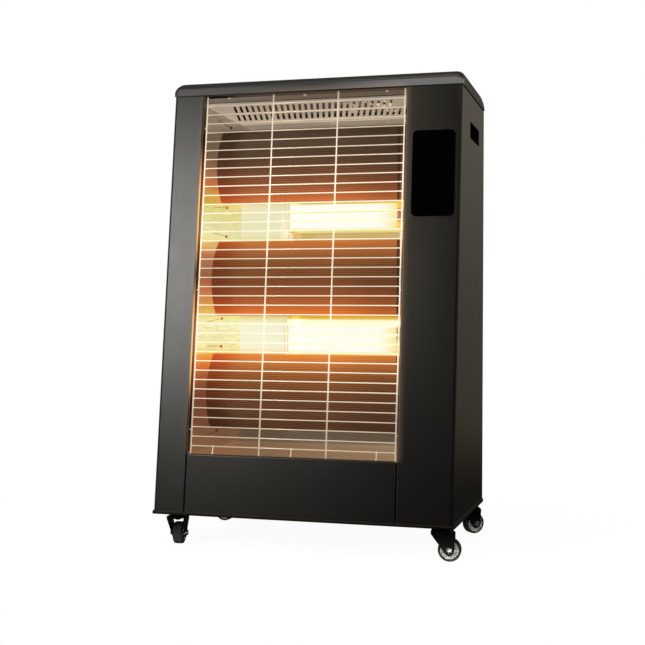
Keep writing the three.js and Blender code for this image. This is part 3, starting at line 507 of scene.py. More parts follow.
def margin_light(paint, above):
    """Painted lamplight on the front beside the opening, widest on the right column."""
    x, y, z = paint.point()
    front = behind_front(y, z).until(4, 30)
    margin = abs(x - pillar_high.x).least(abs(x - column_low.x)).until(0, 24) * front
    on_right = 1.0 + 1.2 * x.past(0, 1)
    beside = x.near(column_low.x, 0, 125) * x.past(-2, 0, column_low.x) * front
    return paint.summed(
        paint.scaled((0.024, 0.015, 0.008), margin * margin * above * on_right),
        paint.scaled((0.015, 0.012, 0.008), beside * z.past(300, 620)))


def painted_rim_light(paint, above):
    """Painted lamplight on the left edge of the opening: bright along the corner, deep red inside."""
    x, y, z = paint.point()
    inward = paint.faces()[0].smooth(0.6, 0.9)
    turned_in = inward * above * x.near(pillar_high.x, 2, 3)
    near = beside_lamps(paint, PAINTED_LIGHT_REACH)
    corner = behind_front(y, z).until(3, 4.5)
    brim = x.near(pillar_high.x, 1.4, 3.4) * above * (1.0 - corner * turned_in)
    # Painted lamplight colours: deep red inside the edge, orange at its corner
    painted_flame_light = paint.mix(corner, DEEP_PAINTED_LIGHT, (1.0, 0.50, 0.12))
    return paint.summed(
        paint.scaled((0.86, 0.62, 0.25), brim * near * corner),
        paint.scaled(painted_flame_light, turned_in * (0.04 + 0.96 * near)))


@recipe_of_slot(Specular_IOR_Level=0.7)
def lid_plastic(lid):
    """Charcoal moulding with a fine grain: a painted highlight on its fascia, painted lamplight on the fascia
    over the opening, and painted light inside through the slots.
    """
    grain = lid.noise(650.0, 3.0)
    lid.set("Base Color", lid.shaded(lid.noise(8.0), settings("cabinet").lid, 1.0, 1.15))
    lid.set("Roughness", 0.38 + 0.1 * grain)
    lid.bump(grain, 0.12, 0.12 * MM)
    x, y, z = lid.point()
    upward = lid.faces()[2]
    steep = abs(upward)
    seam, brow = pillar_high.z, ceiling_low.y
    over = x.past(-20, 25, wall_left) * x.until(-20, 15, wall_right)
    at_front = y.until(0, 10, brow)
    fascia = over * z.until(2, 17, seam) * steep.fade(0.2, 0.5) * at_front
    # Painted lamplight on the fascia over the opening
    warm = lid.scaled((0.046, 0.029, 0.015), fascia * 1.8 * x.past(-230, 20))
    # Painted highlight along the upright fascia, towards the right
    upright = steep.fade(0.02, 0.14) * at_front
    painted_sheen_and_drawn_tone = lid.scaled((0.125, 0.125, 0.122), upright * x.past(-20, 230))
    # Painted light of the lamps seen inside the lid through the slots
    inside = over * upward.fade(-0.15, -0.05) * y.past(0, 8, brow) * z.past(6, 11, seam)
    patches = lid.noise(60.0, 2.0).smooth(0.50, 0.62) * x.past(-60, 60)
    seen = lid.mix(patches * y.past(80, 105), (0.050, 0.032, 0.020), (0.70, 0.58, 0.44))
    lid.glow(painted_sheen_and_drawn_tone, warm, lid.scaled(seen, inside))


@recipe_of_slot(Metallic=1.0)
def polished_liner(liner):
    """Polished steel with painted lamplight and painted reflections of the lamps nearest to it, and painted
    shade on the ceiling's flange and the walls' front edges.
    """
    drawn = liner.noise(6.0, 3.0, liner.stretched(1.0, 4.0, 90.0))
    x, y, z = liner.point()
    back = y.past(-2, -0.5, reflector_y)
    high = back * z.past(0, 6, drum_top)
    flange = z.past(0.3, 0.6, ceiling_low.z) * y.until(1.2, 2, ceiling_low.y)
    # The walls' front edges: painted shade in the base colour, and painted lamplight, bright at the corner
    # and deep red inside
    painted_lip_light = behind_front(y, z).until(21, 24) * abs(x).past(200, 205)
    painted_lip_light = painted_lip_light * z.past(2, 6, lower_high.z) * (1.0 - flange)
    # The steel's own tone along its drawn marks
    painted_sheen_and_drawn_tone = liner.shaded(drawn.smooth(0.3, 0.75), settings("chamber").liner, 0.55, 1.0)
    # Painted shade on the ceiling's flange and the walls' front edges; the back below the drums' tops is
    # darker too
    dimmed = (1.0 - 0.75 * flange - 0.7 * (back - high)) * (1.0 - 0.9 * painted_lip_light)
    liner.set("Base Color", liner.scaled(painted_sheen_and_drawn_tone, dimmed))
    liner.set("Roughness", (0.14 + 0.14 * drawn) * (1.0 - 0.75 * high))
    liner.bump(drawn, 0.06, 0.2 * MM)
    patches = liner.noise(9.0, 2.0)
    # Painted lamplight and painted reflections on the walls, the back and the flange
    walls = liner.scaled(painted_light_at_height(liner, WALL_STOPS), (0.85 + 0.3 * patches) * (1.0 - flange))
    glow = liner.mix(back * (1.0 - high), walls, mirrored_banks(liner))
    glow = liner.summed(glow, liner.scaled((0.05, 0.04, 0.03), high))
    outer = behind_front(y, z).until(4, 6) * x.until(0, 1)
    painted_flame_light = liner.scaled(
        liner.mix(outer, DEEP_PAINTED_LIGHT, (0.95, 0.48, 0.12)), 0.05 + 0.95 * beside_lamps(liner, PAINTED_LIGHT_REACH))
    glow = liner.mix(painted_lip_light, glow, painted_flame_light)
    folded = liner.ramp((z - ceiling_low.z) / (ceiling_high.z - ceiling_low.z), FLANGE_STOPS)
    on_floor = z.until(0, 8, lower_high.z)
    floor_light = liner.scaled((0.16, 0.13, 0.08), on_floor * (0.15 + 0.5 * x.smooth(wall_left, wall_right)))
    on_ceiling = z.past(-1.2, -0.4, ceiling_low.z) * (1.0 - flange)
    ceiling_light = liner.scaled((0.275, 0.222, 0.163), on_ceiling * (0.6 + 0.8 * patches))
    liner.glow(glow, liner.scaled(folded, flange), floor_light, ceiling_light)


def mirrored_banks(liner):
    """A painted reflection of the banks on the polished back: behind the tubes, beside them, and the yellow
    line between.
    """
    x, _, z = liner.point()
    behind = x.past(-24, -20, lamps_left)
    banks = liner.mix(behind, painted_light_at_height(liner, BESIDE_STOPS), painted_light_at_height(liner, BEHIND_STOPS))
    line_top, line_foot, line_lean = 516 * MM, 433 * MM, 0.075
    line = x.near(lamps_left - 22 * MM - (line_top - z) * line_lean, 0.8, 2.0)
    line = line * z.until(-2, 2, line_top) * z.past(-2, 2, line_foot)
    return liner.mix(line, banks, (0.74, 0.60, 0.06))


def drum_slope(z):
    """How far a smooth drum's face looks up at a height: 0 at its crown."""
    crowns = [centre_of(node).z for node in DRUMS]
    cuts = [(a + b) / 2 for a, b in zip(crowns, crowns[1:])]
    below = [z.until(-1, 1, cut) for cut in cuts]
    crown = crowns[0] + below[0] * (crowns[1] - crowns[0]) + below[1] * (crowns[2] - crowns[1])
    return (z - crown) / DRUM_RADIUS


def drum_painted_light(z):
    """How strong the painted lamplight on the drums is at a height: each edge beside the lamps has its own
    power.
    """
    upper, central, lower = (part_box(node) for node in DRUMS)
    edge_lamplight = 0.0
    for edge, power in ((upper[0], 0.86), (central[1], 1.08), (central[0], 1.12), (lower[1], 1.5)):
        edge_lamplight = edge_lamplight + power * math.e ** (abs(z - edge.z) / -DRUM_FADE)
    return edge_lamplight


@recipe_of_slot(Metallic=0.35, Specular_IOR_Level=0.3)
def radiator_drum(drum):
    """Heat-darkened ribbed steel with painted lamplight, orange to red, at the edges beside the lamps,
    painted shading on its ribs and a painted shadow at its right end.
    """
    sizes = settings("chamber")
    scale = drum.noise(40.0, 3.0, drum.stretched(0.15, 1.0, 1.0))
    drum.set("Base Color", drum.shaded(scale, sizes.drum, 0.75, 1.3))
    drum.set("Roughness", 0.42 + 0.15 * scale)
    drum.bump(drum.noise(500.0), 0.1, 0.1 * MM)
    x, y, z = drum.point()
    slope = drum_slope(z)
    # Painted shading: ribs that face up catch more of the painted light than those that face down
    lit_side = 0.58 + 0.42 * (drum.faces()[2] - slope).smooth(-0.35, 0.35)
    along = x.past(-5, 100, wall_left)
    first = z.past(740, 800)
    # Painted light on the upper faces of the middle and lower drums, and painted shade towards the right
    # elsewhere
    lit_top = slope.smooth(0.15, 0.45) * (1.0 - first) * (0.35 + 0.35 * z.past(500, 600))
    painted_shade_right = 1.0 - 0.38 * (1.0 - lit_top) * x.past(-200, -40, wall_right)
    # A painted shadow strip at the drums' right ends, along the camera's line past the column's edge
    past_column = x + (y - pillar_low.y) * SIGHT_SLOPE - wall_right
    painted_shadow_end = past_column.past(0.5, 2.5) * past_column.until(6, 8)
    # Painted lamplight at the drums' edges, redder towards the left ends
    painted_edge_tint = drum.mix(slope.smooth(-0.1, 0.1), sizes.drum_foot_light, sizes.drum_edge_light)
    hot = drum.scaled(drum.mix(along, sizes.drum_end_light, painted_edge_tint), drum_painted_light(z) * (0.84 + 0.16 * along))
    # Dim painted light over the rest of each drum
    plain = drum.mix(first, (0.060, 0.024, 0.011), (0.052, 0.034, 0.022))
    painted_dim_light = drum.scaled(plain, (0.6 + 0.8 * scale) * (0.55 + 0.45 * along))
    drum.glow(drum.scaled(drum.summed(hot, painted_dim_light), lit_side * painted_shade_right * (1.0 - 0.95 * painted_shadow_end)))


@recipe_of_slot(Base_Color=(0.10, 0.09, 0.07), Roughness=0.12)
def quartz_lamp(lamp):
    """A clear tube filled by the light of its coil, yellow between the tubes and at their right ends."""
    x, _, z = lamp.point()
    centres = [centre_of(f"lamp_{name}").z for name in LAMPS]
    off_axis = abs(z - centres[0])
    for centre in centres[1:]:
        off_axis = off_axis.least(abs(z - centre))
    from_left, from_right = x - lamps_left, lamps_right - x
    between = off_axis.past(6.8, 9.3)
    between = between.most(from_right.until(2, 30) * off_axis.past(3.5, 7.5))
    gap = lamp.mix(from_left.least(from_right).past(2, 32), (0.84, 0.54, 0.03), (0.94, 0.84, 0.44))
    white = lamp.mix(from_right.until(0, 60), settings("chamber").lamp_glow, (0.90, 0.80, 0.34))
    coil = (x * (math.tau / settings("chamber").coil_pitch)).wave()
    lamp.glow(lamp.scaled(lamp.mix(between, white, gap), 0.97 + 0.03 * coil))


@recipe_of_slot(Roughness=0.6)
def ceramic(block):
    """White ceramic with painted lamplight: warm on the left blocks and olive at their edges, amber on the
    right ones.
    """
    block.set("Base Color", block.mix(block.noise(60.0), (0.42, 0.38, 0.30), (0.55, 0.51, 0.42)))
    block.bump(block.noise(400.0), 0.2, 0.2 * MM)
    x, _, z = block.point()
    left_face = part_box("lamp_holder_upper_left")[0].x
    edge = abs(x - left_face - 1.2 * MM).least(abs(x - left_face - 9 * MM)).past(0.4, 1.0)
    # Painted lamplight on the left blocks, olive at their edges
    warm = block.mix(edge, (0.46, 0.44, 0.10), block.scaled(painted_light_at_height(block, BESIDE_STOPS), 0.9))
    # Painted lamplight on the right blocks: amber near the lamp banks, deep red away from them
    upper, corner = bank_heights[0], bank_heights[1] + 14 * MM
    amber = block.mix(abs(z - upper).least(abs(z - corner)).past(12, 18),
                      (0.22, 0.030, 0.004), (0.80, 0.42, 0.02))
    left = x.until(20, 40, lamps_left)
    block.glow(block.mix(left, amber, warm))


@recipe_of_slot(Metallic=0.75)
def guard_wire(wire):
    """Plated wire with painted lamplight, warmest where the lamps shine through it."""
    mottle = wire.noise(120.0)
    wire.set("Base Color", wire.shaded(mottle, settings("guard").plating, 0.86, 1.0))
    wire.set("Roughness", 0.24 + 0.12 * mottle)
    near = beside_lamps(wire, WIRE_REACH)
    wire.glow(wire.mix(near, (0.46, 0.385, 0.285), (0.92, 0.86, 0.68)))


@recipe_of_slot(Base_Color=(0.0015, 0.0015, 0.0015), Specular_IOR_Level=0.35)
def touch_glass(glass):
    """Black gloss glass."""
    glass.set("Roughness", 0.03 + 0.02 * glass.noise(12.0))


@recipe_of_slot(Base_Color=(0.006, 0.006, 0.006))
def black_plastic(plastic):
    """Black moulded plastic with a fine grain."""
    grain = plastic.noise(800.0)
    plastic.set("Roughness", 0.45 + 0.15 * grain)
    plastic.bump(grain, 0.15, 0.1 * MM)


@recipe_of_slot(Roughness=0.35)
def circuit_board(board):
    """Green lacquered board with a faint weave."""
    x, _, z = board.point()
    weave = (x * 9000.0).wave() * (z * 9000.0).wave()
    board.set("Base Color", board.mix(0.5 + 0.5 * weave, (0.010, 0.075, 0.030), (0.014, 0.100, 0.042)))


def metal(steel, tint, roughness):
    """Plated or painted steel, slightly mottled."""
    mottle = steel.noise(90.0, 3.0)
    steel.set("Base Color", steel.shaded(mottle, tint, 0.8, 1.15))
    steel.set("Roughness", roughness + 0.16 * mottle)
    steel.bump(steel.noise(700.0), 0.08, 0.08 * MM)


@recipe_of_slot(Metallic=1.0)
def zinc_steel(steel):
    """Zinc-plated rails behind the lamps, lit by them."""
    metal(steel, (0.30, 0.29, 0.27), 0.26)
    steel.glow(painted_light_at_height(steel, BEHIND_STOPS))


@recipe_of_slot(Metallic=0.4)
def castor_steel(steel):
    """Black plated forks and plates."""
    metal(steel, settings("castors").steel, 0.34)


@recipe_of_slot(Metallic=1.0)
def castor_axle(steel):
    """Bright axle bolts and screws."""
    metal(steel, (0.62, 0.62, 0.60), 0.24)


@recipe_of_slot()
def castor_hub(hub):
    """Pale moulded hub."""
    hub.set("Base Color", hub.shaded(hub.noise(70.0), settings("castors").hub_colour, 0.88, 1.0))
    hub.set("Roughness", 0.42 + 0.12 * hub.noise(300.0))


@recipe_of_slot(Specular_IOR_Level=0.35)
def castor_tyre(rubber):
    """Dark rubber, a little dusty on the tread."""
    dust = rubber.noise(150.0, 3.0)
    rubber.set("Base Color", rubber.shaded(dust, settings("castors").tyre, 1.0, 1.9))
    rubber.set("Roughness", 0.62 + 0.2 * dust)
    rubber.bump(rubber.noise(900.0), 0.2, 0.1 * MM)


mixed = {}


def finish(slot):
    """The material of a slot, mixed once."""
    if slot not in mixed:
        recipe, constants = RECIPES[slot]
        made = Finish(slot, **constants)
        recipe(made)
        mixed[slot] = made.material
    return mixed[slot]


def dress(*nodes):
    """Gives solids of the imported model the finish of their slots."""
    slots = {part["node"]: part["material_slot"] for part in frame["record"]["subparts"]}
    for node in nodes:
        materials = frame["nodes"][node].data.materials
        materials.clear()
        materials.append(finish(slots[node]))


def shown(name, data):
    """A new object in the scene."""
    made = bpy.data.objects.new(name, data)
    bpy.context.scene.collection.objects.link(made)
    return made


def meshed(name, mesh, material):
    """Mesh data of one material."""
    data = bpy.data.meshes.new(name)
    mesh.to_mesh(data)
    mesh.free()
    data.materials.append(material)
    return data


def piece(name, mesh, slot, body="root", stands_for=(), soft=35):
    """A piece of the heater from its mesh: edges sharper than the soft angle stay crisp."""
    bmesh.ops.remove_doubles(mesh, verts=mesh.verts, dist=1e-6)
    bmesh.ops.recalc_face_normals(mesh, faces=mesh.faces)
    for face in mesh.faces:
        face.smooth = len(face.verts) <= 4
    for edge in mesh.edges:
        edge.smooth = edge.calc_face_angle(math.pi) < math.radians(soft)
    made = shown(name, meshed(name, mesh, finish(slot)))
    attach(made, body)
    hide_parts(*stands_for)


def skin(mesh, rings, closed=True, capped=True):
    """Faces from ring to ring; a capped skin gets a face at both ends."""
    rows = [[mesh.verts.new(point) for point in ring] for ring in rings]
    for near, far in zip(rows, rows[1:]):
        count = len(near)
        for i in range(count if closed else count - 1):
            j = (i + 1) % count
            mesh.faces.new((near[i], near[j], far[j], far[i]))
    if capped:
        mesh.faces.new(rows[0][::-1])
        mesh.faces.new(rows[-1])
    return rows


def arc(u, v, radius, start, end, steps, tall=None):
    """Points of an arc about (u, v), angles in degrees; tall is its upright radius."""
    angles = [math.radians(start + (end - start) * i / steps) for i in range(steps + 1)]
    tall = radius if tall is None else tall
    return [(u + radius * math.cos(a), v + tall * math.sin(a)) for a in angles]


def circle(radius, steps, place, height=0.0):
    """A ring of points about the local z axis of a place."""
    angles = [math.tau * i / steps for i in range(steps)]
    return [place @ Vector((radius * math.cos(a), radius * math.sin(a), height)) for a in angles]


def turned(mesh, profile, place, steps):
    """A round form from its (radius, height) profile."""
    skin(mesh, [circle(max(radius, 1e-7), steps, place, height) for radius, height in profile], capped=False)


def measured(foot, *points):
    """A profile's points: radius in millimetres, and millimetres above a foot that is in metres."""
    return [(radius * MM, foot + height * MM) for radius, height in points]


def prism(mesh, outline, place, low, high, soft=0.0):
    """An outline run from one height to another, its rims rounded by the soft radius."""
    rows = skin(mesh, [[place @ Vector((u, v, height)) for u, v in outline] for height in (low, high)])
    if soft:
        rims = {edge for row in rows for i, vert in enumerate(row)
                for edge in vert.link_edges if edge.other_vert(vert) == row[i - 1]}
        bmesh.ops.bevel(mesh, geom=list(rims), offset=soft, segments=3, profile=0.5, affect="EDGES")


def rounded(u0, u1, v0, v1, radius, steps=6):
    """A rectangle with rounded corners."""
    corners = ((u1 - radius, v1 - radius), (u0 + radius, v1 - radius),
               (u0 + radius, v0 + radius), (u1 - radius, v0 + radius))
    return [point for i, (u, v) in enumerate(corners)
            for point in arc(u, v, radius, 90 * i, 90 * (i + 1), steps)]


def wire_along(mesh, path, radius, sides=12):
    """A round wire with softened ends along a path of points."""
    points = [Vector(point) for point in path]
    steps = [(b - a).normalized() for a, b in zip(points, points[1:])]
    heads = [steps[0], *[(a + b).normalized() for a, b in zip(steps, steps[1:])], steps[-1]]
    turn = heads[0].to_track_quat("Z", "Y")
    end_radius, end_reach = 0.6 * radius, 0.25 * radius
    rings = []
    for i, (point, head) in enumerate(zip(points, heads)):
        if i:
            turn = heads[i - 1].rotation_difference(head) @ turn
        place = Matrix.Translation(point) @ turn.to_matrix().to_4x4()
        if i == 0:
            rings.append(circle(end_radius, sides, place, -end_reach))
        rings.append(circle(radius, sides, place))
    rings.append(circle(end_radius, sides, place, end_reach))
    skin(mesh, rings)


def fill_between(mesh, *rings):
    """A flat face between two rings of vertices."""
    rims = [mesh.edges.get((ring[i - 1], vert)) or mesh.edges.new((ring[i - 1], vert))
            for ring in rings for i, vert in enumerate(ring)]
    bmesh.ops.triangle_fill(mesh, edges=rims, use_beauty=True)


def facing(point, direction):
    """A place at a point whose local z looks along a direction."""
    return Matrix.Translation(point) @ Vector(direction).to_track_quat("Z", "Y").to_matrix().to_4x4()


def leaning_front():
    """The leaning front as a place: x across, y up the slope, z outward."""
    upright = Matrix.Rotation(math.pi / 2 - math.atan(front_slope()), 4, "X")
    return Matrix.Translation((0, pillar_low.y, pillar_low.z)) @ upright


def up_slope(height):
    """Distance up the leaning front of a height above the floor."""
    return (height - pillar_low.z) / math.cos(math.atan(front_slope()))


def screw(mesh, place, radius, height):
    """A pan-head screw with a cross recess, its seat at the place and its head along local z."""
    arm, slot_half, depth, narrow = 0.58 * radius, 0.16 * radius, 0.7 * height, 0.7
    quarter = [(arm, slot_half), (slot_half, slot_half), (slot_half, arm)]
    outline = []
    for u, v in ((1, 1), (-1, 1), (-1, -1), (1, -1)):
        outline += [(u * a, v * b) for a, b in (quarter if u == v else quarter[::-1])]
    dome = [(radius, 0.0), (radius, 0.35 * height), (0.9 * radius, 0.75 * height), (0.7 * radius, height)]
    rows = skin(mesh, [circle(r, 2 * len(outline), place, z) for r, z in dome], capped=False)
    mouth, foot = ([mesh.verts.new(place @ Vector((share * u, share * v, z))) for u, v in outline]
                   for share, z in ((1.0, height), (narrow, height - depth)))
    fill_between(mesh, rows[-1], mouth)
    for i, vert in enumerate(mouth):
        mesh.faces.new((mouth[i - 1], vert, foot[i], foot[i - 1]))
    mesh.faces.new(foot)
    mesh.faces.new(rows[0][::-1])


def build_lid():
    """The smooth moulded lid: a shell with curved front and back and rounded ends."""
    sizes = settings("cabinet")
    bottom, top = pillar_high.z + sizes.lid_gap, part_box("lid")[1].z
    front = pillar_low.y + (bottom - pillar_low.z) * front_slope() - sizes.lid_overhang
    back = pillar_high.y + sizes.lid_overhang
    reach = pillar_low.x - sizes.lid_overhang
    rise, back_rise = top - bottom - sizes.lid_fascia, top - bottom - sizes.lid_back_fascia
    outline = [
        (front, bottom), (front, bottom + 0.5 * sizes.lid_fascia),
        *arc(front + sizes.lid_front_run, top - rise, sizes.lid_front_run, 180, 90, 24, rise),
        *arc(back - sizes.lid_back_run, top - back_rise, sizes.lid_back_run, 90, 0, 24, back_rise),
        (back, bottom),
    ]
    middle = (front + back) / 2

    def section(out, drop, inset):
        return [Vector((out, y + math.copysign(inset, middle - y), z - drop * (z - bottom) / (top - bottom)))
                for y, z in outline]

    ends = [(reach + sizes.lid_end_radius * (1 - across), sizes.lid_end_radius * (1 - along),
             sizes.lid_end_inset * (1 - along)) for across, along in arc(0, 0, 1, 0, 90, 8)]
    mesh = bmesh.new()
    rings = [section(*end) for end in ends]
    rings += [section(-out, drop, inset) for out, drop, inset in reversed(ends)]
    skin(mesh, rings, closed=False)
    bmesh.ops.recalc_face_normals(mesh, faces=mesh.faces)
    bmesh.ops.solidify(mesh, geom=mesh.faces[:], thickness=sizes.lid_wall)
    piece("lid_shell", mesh, "lid_plastic", stands_for=["lid"])
    build_lid_shadow_seal((reach, -reach), (front, back), bottom)


def build_lid_shadow_seal(ends, sides, bottom):
    """The dark seal inside the lid's rim, standing on the panels: black as painted shade, so the gap under
    the lid reads as a shadow line.
    """
    inset, width = 3 * MM, 4 * MM
    low, high = pillar_high.z + 0.3 * MM, bottom + 8 * MM
    (left, right), (front, back) = ends, sides
    middle = (front + back) / 2
    outer = [(left + inset, front + inset), (right - inset, front + inset),
             (right - inset, back - inset), (left + inset, back - inset)]
    inner = [(u - math.copysign(width, u), v + math.copysign(width, middle - v)) for u, v in outer]
    mesh = bmesh.new()
    skin(mesh, [[Vector((u, v, z)) for u, v in line] for line, z in
                ((outer, low), (outer, high), (inner, high), (inner, low), (outer, low))], capped=False)
    piece("lid_seal", mesh, "black_plastic")


# Where the guard's uprights, side hooks, and foot and head hooks stand, as shares of its width or height
UPRIGHT_SHARES = (0, 0.343, 0.671, 1)
SIDE_HOOK_SHARES = (0.065, 0.45, 0.91)
HOOK_SHARES = (0.11, 0.5, 0.91)


def build_guard():
    """The welded wire guard with its hooks."""
    sizes = settings("guard")
    front = leaning_front()
    level, upright_depth = sizes.level, -sizes.setback
    left, right = pillar_high.x + sizes.side_gap, column_low.x - sizes.side_gap
    depth = upright_depth - sizes.upright - level + sizes.weld
    gap, overrun = 0.3 * MM, 1.2 * MM
    bottom = up_slope(lower_high.z + gap) - (depth - level) * math.sin(math.atan(front_slope()))
    top = up_slope(pillar_high.z)
    first, last = up_slope(pillar_high.z - sizes.top_row), up_slope(lower_high.z + sizes.bottom_row)
    mesh = bmesh.new()

    def wire(points, radius=level, sides=12):
        wire_along(mesh, [front @ Vector(point) for point in points], radius, sides)

    for share in UPRIGHT_SHARES:
        x = left + (right - left) * share
        wire([(x, bottom, upright_depth), (x, top, upright_depth)], sizes.upright, 14)
    for row in range(sizes.rows):
        s = first + (last - first) * row / (sizes.rows - 1)
        wire([(left - overrun, s, depth), (right + overrun, s, depth)], sides=10)
    for share in SIDE_HOOK_SHARES:
        s = bottom + (top - bottom) * share
        wire([(wall_left + gap, s, upright_depth), (left, s, upright_depth)])
        wire([(right, s, upright_depth), (wall_right - gap, s, upright_depth)])
    bend, head_half = 3 * MM, 2.5 * MM
    head = up_slope(ceiling_high.z) + 0.5 * MM
    head_depth = (front.inverted() @ Vector((0, ceiling_low.y, ceiling_high.z))).z + 0.8 * MM
    foot = bottom + level + 0.1 * MM
    curve = arc(depth + bend, foot + bend, bend, 180, 270, 6)
    for share in HOOK_SHARES:
        x = left + (right - left) * share
        wire([(x, last + 2 * MM, depth), *[(x, s, w) for w, s in curve], (x, foot, depth + sizes.foot)])
        wire([(x - head_half, head, head_depth), (x + head_half, head, head_depth)])
    piece("guard_wires", mesh, "guard_wire", stands_for=["wire_guard"], soft=60)


# The pinched end of a tube: millimetres past the seal, and shares of the tube's width and height
PINCH = [(1.2, 0.55, 0.68), (2.6, 0.84, 0.88), (4.2, 0.97, 0.98), (6, 1.0, 1.0)]
SEAL_SHARES = (0.42, 0.60)


def build_lamps():
    """The quartz tubes with their pinched ends."""
    sizes = settings("chamber")
    radius, seal = sizes.lamp_radius, sizes.seal_length
    half = [(0.0, *SEAL_SHARES), (seal, *SEAL_SHARES)]
    half += [(seal + past * MM, wide, tall) for past, wide, tall in PINCH]
    turns = [(math.cos(math.tau * i / 32), math.sin(math.tau * i / 32)) for i in range(32)]
    for name in LAMPS:
        low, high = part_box(f"lamp_{name}")
        centre = centre_of(f"lamp_{name}")
        stations = [(low.x + x, radius * wide, radius * tall) for x, wide, tall in half]
        stations += [(high.x - x, radius * wide, radius * tall) for x, wide, tall in reversed(half)]
        mesh = bmesh.new()
        skin(mesh, [[Vector((x, centre.y + wide * c, centre.z + tall * s)) for c, s in turns]
                    for x, wide, tall in stations])
        piece(f"tube_{name}", mesh, "quartz_lamp", stands_for=[f"lamp_{name}"], soft=50)


def build_glass():
    """The touch panel's glass with softly ground edges."""
    low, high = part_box("touch_glass")
    front = leaning_front()
    edge, thickness, gap, radius = 0.7 * MM, 2.4 * MM, 0.3 * MM, 11 * MM
    tilt = math.sin(math.atan(front_slope()))
    foot, head = up_slope(low.z - gap * tilt), up_slope(high.z - (gap + thickness) * tilt)
    face = gap + thickness
    ground = [math.radians(turn) for turn in (30, 60, 90)]
    layers = [(0.0, gap), (0.0, face - edge)]
    layers += [(edge * (1 - math.cos(a)), face - edge * (1 - math.sin(a))) for a in ground]
    mesh = bmesh.new()
    skin(mesh, [[front @ Vector((u, v, height)) for u, v in rounded(
        low.x + inset, high.x - inset, foot + inset, head - inset, radius - inset, 10)]
        for inset, height in layers])
    piece("touch_plate", mesh, "touch_glass", stands_for=["touch_glass"])


def castor_places():
    """Each castor's name, the place of its kingpin at the floor and the place that turns with its fork."""
    for place in ("front_left", "front_right", "back_left", "back_right"):
        plate, hub = (centre_of(f"castor_{place}_{part}") for part in ("plate", "hub"))
        still = Matrix.Translation((plate.x, plate.y, 0))
        turn = math.atan2(hub.y - plate.y, hub.x - plate.x)
        yield place, still, still @ Matrix.Rotation(turn, 4, "Z")


def castor_heights():
    """Above the floor: the plate's top and foot, the race's foot, and the crown's top and foot."""
    sizes = settings("castors")
    plate_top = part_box("base_tray")[0].z - sizes.gap
    plate_foot = plate_top - sizes.plate_thickness
    race_foot = plate_foot - sizes.race
    crown_top = race_foot - sizes.gap
    return plate_top, plate_foot, race_foot, crown_top, crown_top - sizes.crown


def build_castor_plate(place, still):
    """A castor's top plate with its ball race and kingpin, and its four screws."""
    sizes = settings("castors")
    plate_top, plate_foot, race_foot, _, crown_foot = castor_heights()
    half, at_screw = sizes.plate / 2, sizes.plate_screws / 2
    mesh = bmesh.new()
    prism(mesh, rounded(-half, half, -half, half, 4 * MM), still, plate_foot, plate_top, 0.5 * MM)
    turned(mesh, measured(plate_foot, (0, 0.5), (16, 0.5), (16, -1), (15, -1.8))
           + measured(race_foot, (14.6, 0.6), (14, 0), (0, 0)), still, 40)
    head = crown_foot - sizes.gap
    turned(mesh, measured(race_foot, (0, 1), (4, 1))
           + measured(head, (4, 0), (6.5, 0), (6.3, -1.4), (5, -2.3), (0, -2.6)), still, 24)
    piece(f"castor_{place}_top_plate", mesh, "castor_steel", stands_for=[f"castor_{place}_plate"])
    mesh = bmesh.new()
    for u in (-at_screw, at_screw):
        for v in (-at_screw, at_screw):
            screw(mesh, still @ facing((u, v, plate_foot), (0, 0, -1)), 3.4 * MM, 1.5 * MM)
    piece(f"castor_{place}_screws", mesh, "castor_axle")


def build_castor_yoke(place, moving, sideways):
    """A castor's fork: two splayed legs that taper to the axle, joined by the crown."""
    sizes = settings("castors")
    crown_top, crown_foot = castor_heights()[-2:]
    half_top, knee, leg_radius = 21 * MM, 29 * MM, 11.5 * MM
    half_gap, splay, splay_foot = sizes.fork_gap / 2, 0.22, sizes.wheel + 11 * MM
    outline = [(-half_top, crown_top), (-half_top, crown_foot),
               *arc(sizes.trail, sizes.wheel, leg_radius, 214, 369, 16),
               (knee, crown_foot), (half_top, crown_top)]
    mesh = bmesh.new()
    for side in (-1, 1):
        faces = sorted((side * half_gap, side * (half_gap + sizes.leg)))
        before = set(mesh.verts)
        prism(mesh, outline, sideways, *faces, 0.6 * MM)
        for vert in set(mesh.verts) - before:
            rise = max(0.0, vert.co.z - splay_foot)
            vert.co += sideways.to_3x3() @ Vector((0, 0, side * rise * splay))
    half_crown = half_gap + splay * (crown_foot - splay_foot) + 0.2 * MM
    crown_under = crown_foot + 3.5 * MM
    crown = [(-half_top, crown_top), (-half_top, crown_under), (25 * MM, crown_under), (half_top, crown_top)]
    prism(mesh, crown, sideways, -half_crown, half_crown)
    ring = (measured(crown_top, (4.4, -1), (13.6, -1))
            + measured(crown_foot, (13.6, 1.5), (12, 0), (4.4, 0)) + measured(crown_top, (4.4, -1)))
    turned(mesh, ring, moving, 32)
    piece(f"castor_{place}_yoke", mesh, "castor_steel", f"castor_{place}_swivel", [f"castor_{place}_fork"])


